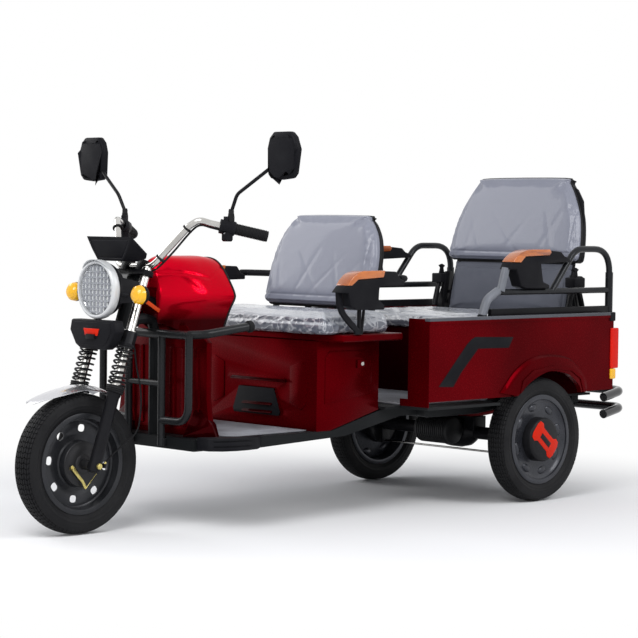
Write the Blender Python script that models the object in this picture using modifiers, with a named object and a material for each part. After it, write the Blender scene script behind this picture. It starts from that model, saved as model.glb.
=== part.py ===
"""Electric cargo tricycle: one raked front fork, a driver's seat on a battery box, and a rear bench body.

Lengths are metres. X points to the vehicle's left, Z up from the ground, and Y counts back from the
front axle while the parts are made. The parent empties then move the whole so that the origin lies
under the middle of the vehicle.
"""
import math

import bmesh
import bpy
from mathutils import Matrix, Vector

# Clearance between solids that touch
GAP = 0.0003

# Wheels
TYRE_RADIUS = 0.230
TYRE_WIDTH = 0.082
TYRE_WALL = 0.010
BEAD_RADIUS = 0.1528
FLANGE_RADIUS = 0.166
RIM_WIDTH = 0.067
RIM_WALL = 0.0033
WHEEL_SIDES = 20
RIM_HOLE_RADIUS = 0.0135
RIM_HOLE_CIRCLE = 0.116
REAR_RIM_HOLES = 2
FRONT_RIM_HOLES = 8
WHEELBASE = 1.822
REAR_TRACK = 0.824
FRONT_AXLE_RADIUS = 0.0075
REAR_STUB_RADIUS = 0.012
BRAKE_DRUM_RADIUS = 0.072
HUB_RADIUS = 0.026
HUB_CAP_RADIUS = 0.081

# Fork, measured along the leg from the axle and square to it
RAKE = math.radians(18.5)
STEM_SETBACK = 0.035
LEG_SPREAD = 0.188
LEG_RADIUS = 0.021
LEG_SIDES = 10
LEG_TOP = 0.268
LEG_FOOT = 0.022
STANCHION_RADIUS = 0.0155
STANCHION_FOOT = 0.100
STANCHION_TOP = 0.669
LOWER_YOKE = 0.408
LOWER_YOKE_DEPTH = 0.044
UPPER_YOKE = 0.645
UPPER_YOKE_DEPTH = 0.016
STEM_RADIUS = 0.0145
HEAD_TUBE_RADIUS = 0.026
FORK_TRAVEL = 0.050
SPRING_RADIUS = 0.0225
SPRING_WIRE = 0.003
SPRING_CURLS = 7
POINTS_PER_CURL = 8

# Handlebar
BAR_RADIUS = 0.011
GRIP_RADIUS = 0.0165
GRIP_LENGTH = 0.098
BAR_CLAMP_SPAN = 0.080
BEAK_FRONT = 0.045
BEAK_WALL = 0.004

# Floor and rails
RAIL_OUTER = 0.300
RAIL_WIDTH = 0.040
FLOOR_HEIGHT = 0.305
RAIL_DEPTH = 0.038
SHEET = 0.003
REAR_FLOOR_HEIGHT = 0.372
FRAME_FRONT = 0.300
FRAME_FRONT_HALF = 0.235
RAIL_REAR = 1.549

# Front guard, shield and cowl
GUARD_Y = 0.286
GUARD_TUBE = 0.0145
GUARD_INNER = 0.085
GUARD_OUTER = 0.210
GUARD_TOP = 0.648
SHIELD_Y = 0.365
SHIELD_HALF = 0.222
SHIELD_TOP = 0.640
COWL_FRONT = 0.297
COWL_REAR = 0.600
COWL_HALF = 0.132
COWL_CREST = 0.905
COWL_WALL = 0.003
COWL_SEAT_Y = 0.400
COWL_SEAT_DEPTH = 0.012

# Driver's seat
BOX_FRONT = 0.797
BOX_REAR = 1.100
BOX_HALF = 0.300
BOX_TOP = 0.6172
LID_DEPTH = 0.025
LID_HALF = 0.400
LID_REAR = 1.118
CUSHION_HALF = 0.378
CUSHION_FRONT = 0.748
CUSHION_REAR = 1.082
CUSHION_TOP = 0.722
BACK_HALF = 0.253
BACK_TOP = 1.062
BACK_RECLINE = math.radians(16.0)
ARM_X = 0.408
ARM_WIDTH = 0.052

# Rear body
BODY_FRONT = 1.187
BODY_REAR = 2.228
BODY_HALF = 0.460
BODY_BOTTOM = 0.399
BODY_TOP = 0.690
BODY_SHEET = 0.0035
LEDGE_INNER = 0.396
ARCH_FLARE = 0.018
BENCH_FRONT = 1.655
BENCH_REAR = 2.195
BENCH_DECK = 0.628
BENCH_CUSHION_HALF = 0.385
BENCH_CUSHION_TOP = 0.692
WHEEL_CLEARANCE = 0.045
RAIL_TUBE = 0.0115
HANDRAIL_X = 0.410
HANDRAIL_HEIGHT = 0.782
REAR_BACK_HALF = 0.318
REAR_BACK_LENGTH = 0.329
REAR_BACK_RECLINE = math.radians(13.0)
BUMPER_REAR = 2.345
BUMPER_TUBE = 0.015

LEG_X = LEG_SPREAD / 2
LEG_FLAT = LEG_RADIUS * math.cos(math.pi / LEG_SIDES)
AXLE_Z = TYRE_RADIUS
REAR_WHEEL_X = REAR_TRACK / 2
LID_BOTTOM = BOX_TOP + GAP
LID_TOP = LID_BOTTOM + LID_DEPTH
PAN_TOP = FLOOR_HEIGHT + SHEET
REAR_PAN_TOP = REAR_FLOOR_HEIGHT + 0.008
COWL_SEAT = COWL_CREST - COWL_SEAT_DEPTH
MIDDLE_Y = (BUMPER_REAR + BUMPER_TUBE - TYRE_RADIUS) / 2
SIDES = ((1, "left"), (-1, "right"))


def clear_scene():
    for obj in list(bpy.data.objects):
        bpy.data.objects.remove(obj, do_unlink=True)


clear_scene()
PARTS = bpy.data.collections.new("electric_cargo_tricycle")
bpy.context.scene.collection.children.link(PARTS)


def new_object(name, data):
    obj = bpy.data.objects.new(name, data)
    PARTS.objects.link(obj)
    return obj


def applied(obj, flat=0.0):
    """The object as a plain mesh in place, with its modifiers applied and its seams welded."""
    bpy.context.view_layer.update()
    depsgraph = bpy.context.evaluated_depsgraph_get()
    mesh = bpy.data.meshes.new_from_object(obj.evaluated_get(depsgraph))
    mesh.transform(obj.matrix_world)
    bpy.data.objects.remove(obj)
    bm = bmesh.new()
    bm.from_mesh(mesh)
    bmesh.ops.remove_doubles(bm, verts=bm.verts, dist=0.00001)
    if flat:
        bmesh.ops.dissolve_limit(bm, angle_limit=flat, verts=bm.verts, edges=bm.edges)
    bmesh.ops.dissolve_degenerate(bm, edges=bm.edges, dist=0.000005)
    bm.to_mesh(mesh)
    bm.free()
    return new_object("solid", mesh)


def facing_out(obj):
    bm = bmesh.new()
    bm.from_mesh(obj.data)
    bmesh.ops.recalc_face_normals(bm, faces=bm.faces)
    bm.to_mesh(obj.data)
    bm.free()
    return obj


def box(xs, ys, zs):
    """A block between two X, two Y and two Z values."""
    bm = bmesh.new()
    bmesh.ops.create_cube(bm, size=1.0)
    size = Vector((abs(xs[1] - xs[0]), abs(ys[1] - ys[0]), abs(zs[1] - zs[0])))
    middle = Vector(((xs[0] + xs[1]) / 2, (ys[0] + ys[1]) / 2, (zs[0] + zs[1]) / 2))
    matrix = Matrix.Translation(middle) @ Matrix.Diagonal((*size, 1.0))
    bmesh.ops.transform(bm, matrix=matrix, verts=bm.verts)
    mesh = bpy.data.meshes.new("block")
    bm.to_mesh(mesh)
    bm.free()
    return new_object("solid", mesh)


def hull(points):
    """The convex solid round a few corner points."""
    bm = bmesh.new()
    for point in points:
        bm.verts.new(point)
    bmesh.ops.convex_hull(bm, input=bm.verts)
    bmesh.ops.dissolve_limit(bm, angle_limit=math.radians(1), verts=bm.verts, edges=bm.edges)
    bmesh.ops.recalc_face_normals(bm, faces=bm.faces)
    mesh = bpy.data.meshes.new("hull")
    bm.to_mesh(mesh)
    bm.free()
    return new_object("solid", mesh)


PRISM_AXES = {
    "x": Matrix(((0, 0, 1, 0), (1, 0, 0, 0), (0, 1, 0, 0), (0, 0, 0, 1))),
    "y": Matrix(((1, 0, 0, 0), (0, 0, -1, 0), (0, 1, 0, 0), (0, 0, 0, 1))),
    "z": Matrix.Identity(4),
}


def prism(outline, axis, low, high):
    """A flat outline with depth: (y, z) points along x, (x, z) along y or (x, y) along z."""
    curve = bpy.data.curves.new("outline", "CURVE")
    curve.dimensions = "2D"
    curve.fill_mode = "BOTH"
    curve.extrude = (high - low) / 2
    spline = curve.splines.new("POLY")
    spline.points.add(len(outline) - 1)
    for point, (a, b) in zip(spline.points, outline):
        point.co = (a, b, 0, 1)
    spline.use_cyclic_u = True
    obj = new_object("outline", curve)
    middle = (low + high) / 2
    offset = {"x": (middle, 0, 0), "y": (0, middle, 0), "z": (0, 0, middle)}[axis]
    obj.matrix_world = Matrix.Translation(offset) @ PRISM_AXES[axis]
    return facing_out(applied(obj, flat=math.radians(0.3)))


def bent(route, radius, steps=2):
    """The route with each inner corner replaced by an arc-like bend."""
    points = [Vector(route[0])]
    for before, corner, after in zip(route, route[1:], route[2:]):
        corner = Vector(corner)
        back = Vector(before) - corner
        ahead = Vector(after) - corner
        reach = min(radius, back.length * 0.45, ahead.length * 0.45)
        start = corner + back.normalized() * reach
        end = corner + ahead.normalized() * reach
        for step in range(steps + 1):
            t = step / steps
            points.append(start * (1 - t) ** 2 + corner * 2 * t * (1 - t) + end * t ** 2)
    points.append(Vector(route[-1]))
    return points


def tube(route, radius, bend=0.0, sides=8, steps=2):
    """A round bar along a route, with filled ends."""
    points = bent(route, bend, steps) if bend else [Vector(point) for point in route]
    curve = bpy.data.curves.new("tube", "CURVE")
    curve.dimensions = "3D"
    curve.bevel_depth = radius
    curve.bevel_resolution = (sides - 4) // 2
    curve.use_fill_caps = True
    spline = curve.splines.new("POLY")
    spline.points.add(len(points) - 1)
    for spline_point, point in zip(spline.points, points):
        spline_point.co = (*point, 1)
    return facing_out(applied(new_object("tube", curve)))


def frame_of(centre, direction):
    """A matrix that puts local Z along a direction at a point."""
    turn = Vector((0, 0, 1)).rotation_difference(Vector(direction).normalized())
    return Matrix.Translation(centre) @ turn.to_matrix().to_4x4()


def rod(start, end, radius, sides=16):
    """A straight round bar between two points."""
    start, end = Vector(start), Vector(end)
    bm = bmesh.new()
    bmesh.ops.create_cone(bm, cap_ends=True, segments=sides, radius1=radius, radius2=radius,
                          depth=(end - start).length)
    bmesh.ops.transform(bm, matrix=frame_of((start + end) / 2, end - start), verts=bm.verts)
    mesh = bpy.data.meshes.new("rod")
    bm.to_mesh(mesh)
    bm.free()
    return new_object("solid", mesh)


def turned(profile, centre, axis, sides=24, ring=False, start=0.0):
    """A turned piece: (radius, height) points about an axis. A ring's profile is a closed loop."""
    mesh = bpy.data.meshes.new("profile")
    edges = [(i, i + 1) for i in range(len(profile) - 1)]
    if ring:
        edges.append((len(profile) - 1, 0))
    mesh.from_pydata([(r, 0, h) for r, h in profile], edges, [])
    obj = new_object("profile", mesh)
    screw = obj.modifiers.new("Turn", "SCREW")
    screw.steps = sides
    screw.render_steps = sides
    screw.use_merge_vertices = True
    screw.merge_threshold = 0.00001
    obj.matrix_world = frame_of(centre, axis) @ Matrix.Rotation(start, 4, "Z")
    return facing_out(applied(obj))


def combined(base, others, operation):
    for other in others:
        modifier = base.modifiers.new("Shape", "BOOLEAN")
        modifier.operation = operation
        modifier.solver = "EXACT"
        modifier.object = other
    result = applied(base)
    for other in others:
        bpy.data.objects.remove(other)
    return result


def fused(*solids):
    """One solid from several that overlap."""
    return combined(solids[0], solids[1:], "UNION")


def cut(solid, *cutters):
    """A solid less its cutters."""
    for cutter in cutters:
        cutter.hide_render = True
        cutter.display_type = "WIRE"
    return combined(solid, cutters, "DIFFERENCE")


def rounded(solid, width, segments=2, angle=40):
    """A solid with its sharp edges rounded."""
    bevel = solid.modifiers.new("Round", "BEVEL")
    bevel.width = width
    bevel.segments = segments
    bevel.limit_method = "ANGLE"
    bevel.angle_limit = math.radians(angle)
    bevel.harden_normals = False
    return applied(solid)


def moved(solid, matrix):
    solid.data.transform(matrix)
    return solid


def mirrored(solid):
    """The same solid on the other side of the vehicle."""
    solid.data.transform(Matrix.Scale(-1, 4, (1, 0, 0)))
    return facing_out(solid)


def sided(make, side):
    """A left-hand piece made by a function, or its mirror image for the right."""
    solid = make()
    return solid if side > 0 else mirrored(solid)


# The fork's upright frame (across, back from the leg, up the leg) leans back about the front axle.
LEAN = Matrix.Translation((0, 0, AXLE_Z)) @ Matrix.Rotation(-RAKE, 4, "X")


def leaned(solid):
    return moved(solid, LEAN)


def on_fork(across, back, up):
    return LEAN @ Vector((across, back, up))


# Each moving group has an empty on its joint's axis; the root empty carries the whole.
PIVOTS = {}
EMPTIES = {}


def body(name, pivot, parent=None):
    empty = bpy.data.objects.new(name + "_pivot", None)
    PARTS.objects.link(empty)
    pivot = Vector(pivot)
    PIVOTS[name] = pivot
    EMPTIES[name] = empty
    if parent:
        empty.parent = EMPTIES[parent]
        empty.location = pivot - PIVOTS[parent]
    else:
        empty.location = pivot + Vector((0, -MIDDLE_Y, 0))


body("chassis", (0, 0, 0))
body("steering", on_fork(0, STEM_SETBACK, UPPER_YOKE), "chassis")
body("fork_lower", on_fork(0, 0, 0), "steering")
body("front_wheel", (0, 0, AXLE_Z), "fork_lower")
body("rear_axle", (0, WHEELBASE, AXLE_Z), "chassis")
body("rear_wheel_left", (REAR_WHEEL_X, WHEELBASE, AXLE_Z), "rear_axle")
body("rear_wheel_right", (-REAR_WHEEL_X, WHEELBASE, AXLE_Z), "rear_axle")
SEAT_HINGE = Vector((0, BOX_FRONT + 0.003, LID_BOTTOM))
body("front_seat", SEAT_HINGE, "chassis")
BACK_HINGE = Vector((0, 2.157, 0.750))
body("rear_back", BACK_HINGE, "chassis")
GATE_HINGE = Vector((0, BODY_REAR + 0.012, 0.4065))
body("tailgate", GATE_HINGE, "chassis")
PEDAL_PIVOT = Vector((-0.090, 0.400, PAN_TOP + 0.027))
body("brake_pedal", PEDAL_PIVOT, "chassis")

# The handlebar's left half, from the middle of the clamp to the end of the grip
BAR_RISE = 0.0385
BAR_CLAMP = on_fork(0, 0.0245, UPPER_YOKE + BAR_RISE)
BAR_END = BAR_CLAMP + Vector((0.348, 0.2759, 0.1106))
BAR_STRAIGHT = BAR_CLAMP + Vector((0.232, 0.1219, 0.1456))
BAR_ALONG = (BAR_END - BAR_STRAIGHT).normalized()
HOUSING_START = BAR_STRAIGHT + BAR_ALONG * 0.030
HOUSING_LENGTH = 0.046
GRIP_START = HOUSING_START + BAR_ALONG * (HOUSING_LENGTH + GAP)
GRIP_END = GRIP_START + BAR_ALONG * GRIP_LENGTH
MIRROR_FOOT = HOUSING_START + BAR_ALONG * 0.020 + Vector((0, 0, 0.0323))
body("throttle", GRIP_START * Vector((-1, 1, 1)), "steering")
body("mirror_left", MIRROR_FOOT, "steering")
body("mirror_right", MIRROR_FOOT * Vector((-1, 1, 1)), "steering")


def finish(name, solid, group, colour, roughness=0.5, metallic=0.0, smooth=40):
    """Names a solid, gives it its own material and puts it on its group's empty."""
    solid.name = name
    mesh = solid.data
    mesh.name = name
    mesh.transform(Matrix.Translation(-PIVOTS[group]))
    solid.parent = EMPTIES[group]
    material = bpy.data.materials.new(name)
    material.use_nodes = True
    shader = material.node_tree.nodes["Principled BSDF"]
    shader.inputs["Base Color"].default_value = (*colour, 1)
    shader.inputs["Roughness"].default_value = roughness
    shader.inputs["Metallic"].default_value = metallic
    mesh.materials.clear()
    mesh.materials.append(material)
    mesh.shade_smooth()
    mesh.set_sharp_from_angle(angle=math.radians(smooth))


RED = (0.42, 0.004, 0.012)
BLACK = (0.012, 0.012, 0.014)
FRAME_GREY = (0.035, 0.04, 0.038)
RUBBER = (0.016, 0.016, 0.017)
CHROME = (0.78, 0.78, 0.80)
SEAT_GREY = (0.30, 0.30, 0.38)
AMBER = (0.95, 0.60, 0.03)


# Wheels
def tyre(x, y):
    outer = TYRE_RADIUS / math.cos(math.pi / WHEEL_SIDES)
    half = TYRE_WIDTH / 2
    seat = RIM_WIDTH / 2 - RIM_WALL - GAP
    inside = half - TYRE_WALL
    top = outer - TYRE_WALL
    half_loop = [
        (BEAD_RADIUS + GAP, seat), (FLANGE_RADIUS + 0.002, seat), (FLANGE_RADIUS + 0.019, half),
        (outer - 0.014, half - 0.002), (outer, half * 0.55),
    ]
    inner_loop = [(top - 0.006, inside * 0.75)]
    left = [(r, h) for r, h in half_loop]
    right = [(r, -h) for r, h in reversed(half_loop)]
    under = [(r, -h) for r, h in reversed(inner_loop)] + inner_loop
    return turned(left + right + under, (x, y, AXLE_Z), (1, 0, 0), WHEEL_SIDES, ring=True,
                  start=math.pi / WHEEL_SIDES)


def rim_outline(disc):
    """The barrel and disc of a rim, from the open side round to the disc's far face."""
    half = RIM_WIDTH / 2
    return [
        (BEAD_RADIUS - RIM_WALL, -half), (FLANGE_RADIUS, -half), (BEAD_RADIUS, -half + RIM_WALL),
        (BEAD_RADIUS, half - RIM_WALL), (FLANGE_RADIUS, half), (BEAD_RADIUS - RIM_WALL, half),
        (BEAD_RADIUS - RIM_WALL, disc + 0.002),
    ]


def rim_holes(x, y, disc, count):
    holes = []
    for index in range(count):
        angle = math.radians(83) + index * 2 * math.pi / count
        hole_y = y + RIM_HOLE_CIRCLE * math.cos(angle)
        hole_z = AXLE_Z + RIM_HOLE_CIRCLE * math.sin(angle)
        holes.append(rod((x + disc - 0.02, hole_y, hole_z), (x + disc + 0.02, hole_y, hole_z),
                         RIM_HOLE_RADIUS, 6))
    return holes


def front_rim():
    """Pressed rim with an open brake drum on its left side and a bored hub."""
    disc = -0.004
    bore = FRONT_AXLE_RADIUS + GAP
    outline = rim_outline(disc) + [
        (BRAKE_DRUM_RADIUS, disc + 0.002), (BRAKE_DRUM_RADIUS, 0.026), (BRAKE_DRUM_RADIUS - 0.005, 0.026),
        (BRAKE_DRUM_RADIUS - 0.005, disc + 0.006), (HUB_RADIUS, disc + 0.006), (HUB_RADIUS, 0.018),
        (bore, 0.018), (bore, -0.040), (HUB_RADIUS - 0.006, -0.040), (HUB_RADIUS, disc - 0.002),
        (BEAD_RADIUS - RIM_WALL, disc - 0.002),
    ]
    wheel = turned(outline, (0, 0, AXLE_Z), (1, 0, 0), WHEEL_SIDES, ring=True, start=math.pi / WHEEL_SIDES)
    return cut(wheel, *rim_holes(0, 0, disc, FRONT_RIM_HOLES))


def rear_rim():
    """Left rear rim: the disc near the outer side, a domed hub cap and a blind bore for the stub."""
    disc = 0.012
    bore = REAR_STUB_RADIUS + GAP
    cap = HUB_CAP_RADIUS
    outline = [(0, disc + 0.018), (bore, disc + 0.018), (bore, -0.010), (HUB_RADIUS + 0.004, -0.010),
               (HUB_RADIUS + 0.004, disc - 0.002), (BEAD_RADIUS - RIM_WALL, disc - 0.002)]
    outline += rim_outline(disc)
    outline += [(cap + 0.001, disc + 0.002), (cap, disc + 0.024), (cap * 0.92, disc + 0.030), (0, disc + 0.033)]
    wheel = turned(outline, (REAR_WHEEL_X, WHEELBASE, AXLE_Z), (1, 0, 0), WHEEL_SIDES,
                   start=math.pi / WHEEL_SIDES)
    return cut(wheel, *rim_holes(REAR_WHEEL_X, WHEELBASE, disc, REAR_RIM_HOLES))


finish("front_tyre", tyre(0, 0), "front_wheel", RUBBER, 0.8)
finish("front_rim", front_rim(), "front_wheel", BLACK, 0.4, 0.3)
for side, word in SIDES:
    finish("rear_tyre_" + word, tyre(side * REAR_WHEEL_X, WHEELBASE), "rear_wheel_" + word, RUBBER, 0.8)
    finish("rear_rim_" + word, sided(rear_rim, side), "rear_wheel_" + word, (0.16, 0.16, 0.17), 0.4, 0.5)


# Fork
def yoke(bottom, depth):
    """A fork bridge that clamps both tubes and the stem."""
    reach = LEG_X + STANCHION_RADIUS
    outline = [
        (-reach, -0.022), (-0.03, -0.016), (0.03, -0.016), (reach, -0.022), (reach + 0.008, 0.0),
        (reach, 0.020), (0.034, STEM_SETBACK + 0.020), (0.018, STEM_SETBACK + 0.028),
        (-0.018, STEM_SETBACK + 0.028), (-0.034, STEM_SETBACK + 0.020), (-reach, 0.020), (-reach - 0.008, 0.0),
    ]
    return prism(outline, "z", bottom, bottom + depth)


def lamp_ear():
    """The left plate between fork tube and headlamp, with the turn signal's stalk."""
    inner = LAMP_RADIUS - 0.0067
    plate = prism([(0.100, 0.838), (0.100, 0.752), (0.150, 0.755), (0.196, 0.775), (0.206, 0.815)], "x",
                  inner, inner + 0.005)
    stalk = rod((inner + 0.002, SIGNAL.y, SIGNAL.z), (SIGNAL.x - SIGNAL_RADIUS - GAP, SIGNAL.y, SIGNAL.z),
                0.006, 8)
    return fused(plate, stalk)


LAMP = Vector((0, 0.100, 0.795))
LAMP_RADIUS = 0.0975
SIGNAL = Vector((0.169, 0.108, 0.782))
SIGNAL_RADIUS = 0.032


def bar_clamp(side):
    middle = side * BAR_CLAMP_SPAN / 2
    top = UPPER_YOKE + UPPER_YOKE_DEPTH
    return box((middle - 0.012, middle + 0.012), (0.006, 0.043), (top - 0.002, UPPER_YOKE + BAR_RISE + 0.0205))


def fork_upper():
    """Both fork tubes, the two yokes, the stem, the handlebar clamps and the lamp ears."""
    pieces = [yoke(LOWER_YOKE, LOWER_YOKE_DEPTH), yoke(UPPER_YOKE, UPPER_YOKE_DEPTH),
              rod((0, STEM_SETBACK, LOWER_YOKE + 0.01), (0, STEM_SETBACK, UPPER_YOKE + 0.01), STEM_RADIUS, 12)]
    for side, _ in SIDES:
        x = side * LEG_X
        pieces.append(rod((x, 0, STANCHION_FOOT), (x, 0, STANCHION_TOP), STANCHION_RADIUS, 10))
        pieces.append(rod((x, 0, LOWER_YOKE - 0.008), (x, 0, LOWER_YOKE + 0.002), SPRING_RADIUS + 0.005, 10))
        pieces.append(bar_clamp(side))
    bracket = box((-0.022, 0.022), (BEAK_FRONT + BEAK_WALL + GAP, 0.126), (0.634, 0.650))
    fork = fused(leaned(fused(*pieces)), bracket)
    fork = fused(fork, lamp_ear(), mirrored(lamp_ear()))
    reach = Vector((BAR_CLAMP_SPAN, 0, 0))
    return cut(fork, rod(BAR_CLAMP - reach, BAR_CLAMP + reach, BAR_RADIUS + 0.0008, 12))


def brake_arm():
    """The front brake's plate, its boss on the left leg and the cam lever."""
    plate = rod((0.0266, 0, 0), (0.0320, 0, 0), BRAKE_DRUM_RADIUS + 0.002, 16)
    boss = rod((0.0310, 0, 0), (LEG_X, 0, 0), 0.018, 12)
    anchor = box((0.0300, LEG_X), (0.004, 0.034), (-0.034, -0.016))
    pivot = rod((0.0310, -0.0441, -0.0257), (0.0500, -0.0441, -0.0257), 0.007, 8)
    lever = prism([(-0.0459, -0.0156), (0.0299, -0.0682), (0.0245, -0.0766), (-0.0541, -0.0282)], "x", 0.042, 0.047)
    return fused(plate, boss, anchor, pivot, lever)


def fork_legs():
    """Both sliding legs on one through axle, with the brake plate."""
    pieces = [rod((-0.125, 0, 0), (0.125, 0, 0), FRONT_AXLE_RADIUS, 12), brake_arm()]
    for side, _ in SIDES:
        x = side * LEG_X
        pieces.append(rod((x, 0, -LEG_FOOT), (x, 0, LEG_TOP), LEG_RADIUS, LEG_SIDES))
        pieces.append(rod((x, 0, LEG_TOP - 0.022), (x, 0, LEG_TOP - 0.0005), SPRING_RADIUS + 0.0065, 10))
        pieces.append(rod((side * 0.113, 0, 0), (side * 0.123, 0, 0), 0.013, 6))
    legs = fused(*pieces)
    bores = []
    for side, _ in SIDES:
        x = side * LEG_X
        bores.append(rod((x, 0, STANCHION_FOOT - FORK_TRAVEL - 0.010), (x, 0, LEG_TOP + 0.01),
                         STANCHION_RADIUS + 0.0004, 10))
    return leaned(cut(legs, *bores))


def spring_route(side):
    """The wire's middle line, a steady helix between the leg's seat and the lower yoke."""
    low = LEG_TOP + SPRING_WIRE + GAP
    high = LOWER_YOKE - 0.008 - SPRING_WIRE - GAP
    count = SPRING_CURLS * POINTS_PER_CURL
    route = []
    for index in range(count + 1):
        turn = 2 * math.pi * index / POINTS_PER_CURL
        route.append((side * LEG_X + SPRING_RADIUS * math.cos(turn), SPRING_RADIUS * math.sin(turn),
                      low + (high - low) * index / count))
    return route


def least_gap(route, radius, apart):
    """The least space between stretches of one tube that lie at least some points apart."""
    points = [Vector(point) for point in route]
    nearest = min((points[i] - points[j]).length
                  for i in range(len(points)) for j in range(i + apart, len(points)))
    return nearest - 2 * radius


def front_fender():
    """A crowned mudguard: an arc about the axle that flares at its front tip, with two ears."""
    back, front, flare_from = math.radians(64), math.radians(133), math.radians(100)
    crown, half, drop = 0.256, 0.049, 0.016
    rows, columns = 8, 4
    bm = bmesh.new()
    grid = []
    for row in range(rows + 1):
        angle = back + (front - back) * row / rows
        flare = max(0.0, (angle - flare_from) / (front - flare_from))
        line = []
        for column in range(columns + 1):
            x = half * (2 * column / columns - 1)
            radius = crown + 0.034 * flare ** 2 - drop * (x / half) ** 2
            line.append(bm.verts.new((x, radius * math.cos(angle), AXLE_Z + radius * math.sin(angle))))
        grid.append(line)
    for near, far in zip(grid, grid[1:]):
        for a, b, c, d in zip(near, near[1:], far[1:], far):
            bm.faces.new((a, b, c, d))
    mesh = bpy.data.meshes.new("fender")
    bm.to_mesh(mesh)
    bm.free()
    shell = new_object("fender", mesh)
    wall = shell.modifiers.new("Wall", "SOLIDIFY")
    wall.thickness = 0.002
    wall.offset = 0
    shell = facing_out(applied(shell))
    ears = []
    for side, _ in SIDES:
        inner = side * (half - 0.004)
        outer = side * (LEG_X - LEG_FLAT - GAP)
        heights = (crown - drop - 0.006, crown - drop + 0.004)
        ears.append(leaned(box(sorted((inner, outer)), (-0.012, 0.012), heights)))
    return fused(shell, *ears)


def front_brake_cable():
    """The cable from the end of the brake's cam lever, back past the leg and up to the lower yoke."""
    start = LEAN @ Vector((0.0470 + 0.003 + GAP, 0.0250, -0.0715))
    end = LEAN @ Vector((0.040, STEM_SETBACK + 0.030, LOWER_YOKE + 0.02))
    knots = [start, (0.0506, 0.034, 0.190), (0.053, 0.0673, 0.2228), (0.055, 0.105, 0.256), (0.058, 0.150, 0.288),
             (0.060, 0.199, 0.323), (0.058, 0.217, 0.367), (0.052, 0.226, 0.450), (0.045, 0.212, 0.540),
             (0.041, 0.206, 0.600), end]
    return tube(smooth_route([Vector(knot) for knot in knots], 2), 0.003, sides=6)


def smooth_route(knots, steps):
    """Points read from a smooth curve through the knots."""
    ends = [knots[0] * 2 - knots[1]] + knots + [knots[-1] * 2 - knots[-2]]
    route = []
    for a, b, c, d in zip(ends, ends[1:], ends[2:], ends[3:]):
        for step in range(steps):
            t = step / steps
            route.append(0.5 * (2 * b + (c - a) * t + (2 * a - 5 * b + 4 * c - d) * t ** 2
                                + (3 * b - a - 3 * c + d) * t ** 3))
    route.append(knots[-1])
    return route


finish("fork_upper", fork_upper(), "steering", (0.5, 0.5, 0.52), 0.25, 0.9)
finish("fork_legs", fork_legs(), "fork_lower", BLACK, 0.45, 0.3)
for side, word in SIDES:
    route = spring_route(side)
    spring = leaned(tube(route, SPRING_WIRE, sides=6))
    gap = least_gap(route, SPRING_WIRE, POINTS_PER_CURL - 1)
    print("fork spring", word, "least gap", round(gap * 1000, 2), "mm")
    finish("fork_spring_" + word, spring, "fork_lower", BLACK, 0.4, 0.6)
finish("front_fender", front_fender(), "fork_lower", (0.72, 0.72, 0.74), 0.3, 0.8)
finish("front_brake_cable", front_brake_cable(), "fork_lower", RUBBER, 0.6)


# Lamps and covers that turn with the fork
def dash_hood():
    """The instrument cowl above the headlamp: a wedge whose upper face looks back at the driver."""
    low = LAMP.z + LAMP_RADIUS - 0.0065
    corners = []
    for side, _ in SIDES:
        corners += [(side * 0.117, 0.128, 0.966), (side * 0.112, 0.150, 0.968), (side * 0.076, 0.096, low + 0.006),
                    (side * 0.082, 0.106, low), (side * 0.090, 0.170, low), (side * 0.100, 0.208, 0.912),
                    (side * 0.098, 0.200, 0.896)]
    return rounded(hull(corners), 0.003, 1, 25)


def beak_cover():
    """A six-sided plate with returned edges in front of the lower yoke."""
    top = LAMP.z - LAMP_RADIUS - 0.0015
    outline = [(-0.110, top), (0.110, top), (0.118, 0.660), (0.088, 0.614), (0.062, 0.600), (-0.062, 0.600),
               (-0.088, 0.614), (-0.118, 0.660)]
    inner = [(x * 0.965, 0.652 + (z - 0.652) * 0.93) for x, z in outline]
    front, back = BEAK_FRONT, 0.097
    cover = rounded(prism(outline, "y", front, back), 0.006, 2, 60)
    cover = cut(cover, prism(inner, "y", front + BEAK_WALL, back + 0.02))
    badge = prism([(-0.030, 0.676), (0.030, 0.676), (0.024, 0.650), (-0.024, 0.650)], "y",
                  front - 0.003, front + 0.002)
    return fused(cover, badge)


def bezel():
    loop = [(0.0905, 0.0), (0.0950, 0.0020), (LAMP_RADIUS, 0.014), (LAMP_RADIUS, 0.034), (0.0930, 0.044),
            (0.0860, 0.044), (0.0845, 0.038), (0.0845, 0.0333), (0.0905, 0.0333)]
    return turned(loop, LAMP, (0, -1, 0), 16, ring=True)


def lens():
    line = [(0, 0.0200), (0.0902, 0.0200), (0.0902, 0.0330), (0.0840, 0.0330), (0.0835, 0.0370), (0.0600, 0.0430),
            (0.0300, 0.0465), (0, 0.0475)]
    return turned(line, LAMP, (0, -1, 0), 16)


def bucket():
    line = [(0, 0.0197), (0.0902, 0.0197), (0.0902, -0.004), (0.086, -0.020), (0.070, -0.042), (0.040, -0.056),
            (0, -0.061)]
    return turned(line, LAMP, (0, -1, 0), 16)


def turn_signal(side):
    line = [(0, -0.022), (0.018, -0.020), (0.028, -0.010), (SIGNAL_RADIUS, 0.004), (0.028, 0.020), (0.016, 0.029),
            (0, 0.032)]
    return turned(line, (side * SIGNAL.x, SIGNAL.y, SIGNAL.z), (0, -1, 0), 16)


finish("headlight_bucket", bucket(), "steering", BLACK, 0.45)
finish("headlight_bezel", bezel(), "steering", (0.75, 0.75, 0.77), 0.2, 0.9)
finish("headlight_lens", lens(), "steering", (0.75, 0.77, 0.8), 0.1)
finish("dash_hood", dash_hood(), "steering", BLACK, 0.4)
finish("beak_cover", beak_cover(), "steering", BLACK, 0.4)
for side, word in SIDES:
    finish("turn_signal_" + word, turn_signal(side), "steering", AMBER, 0.3)


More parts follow.
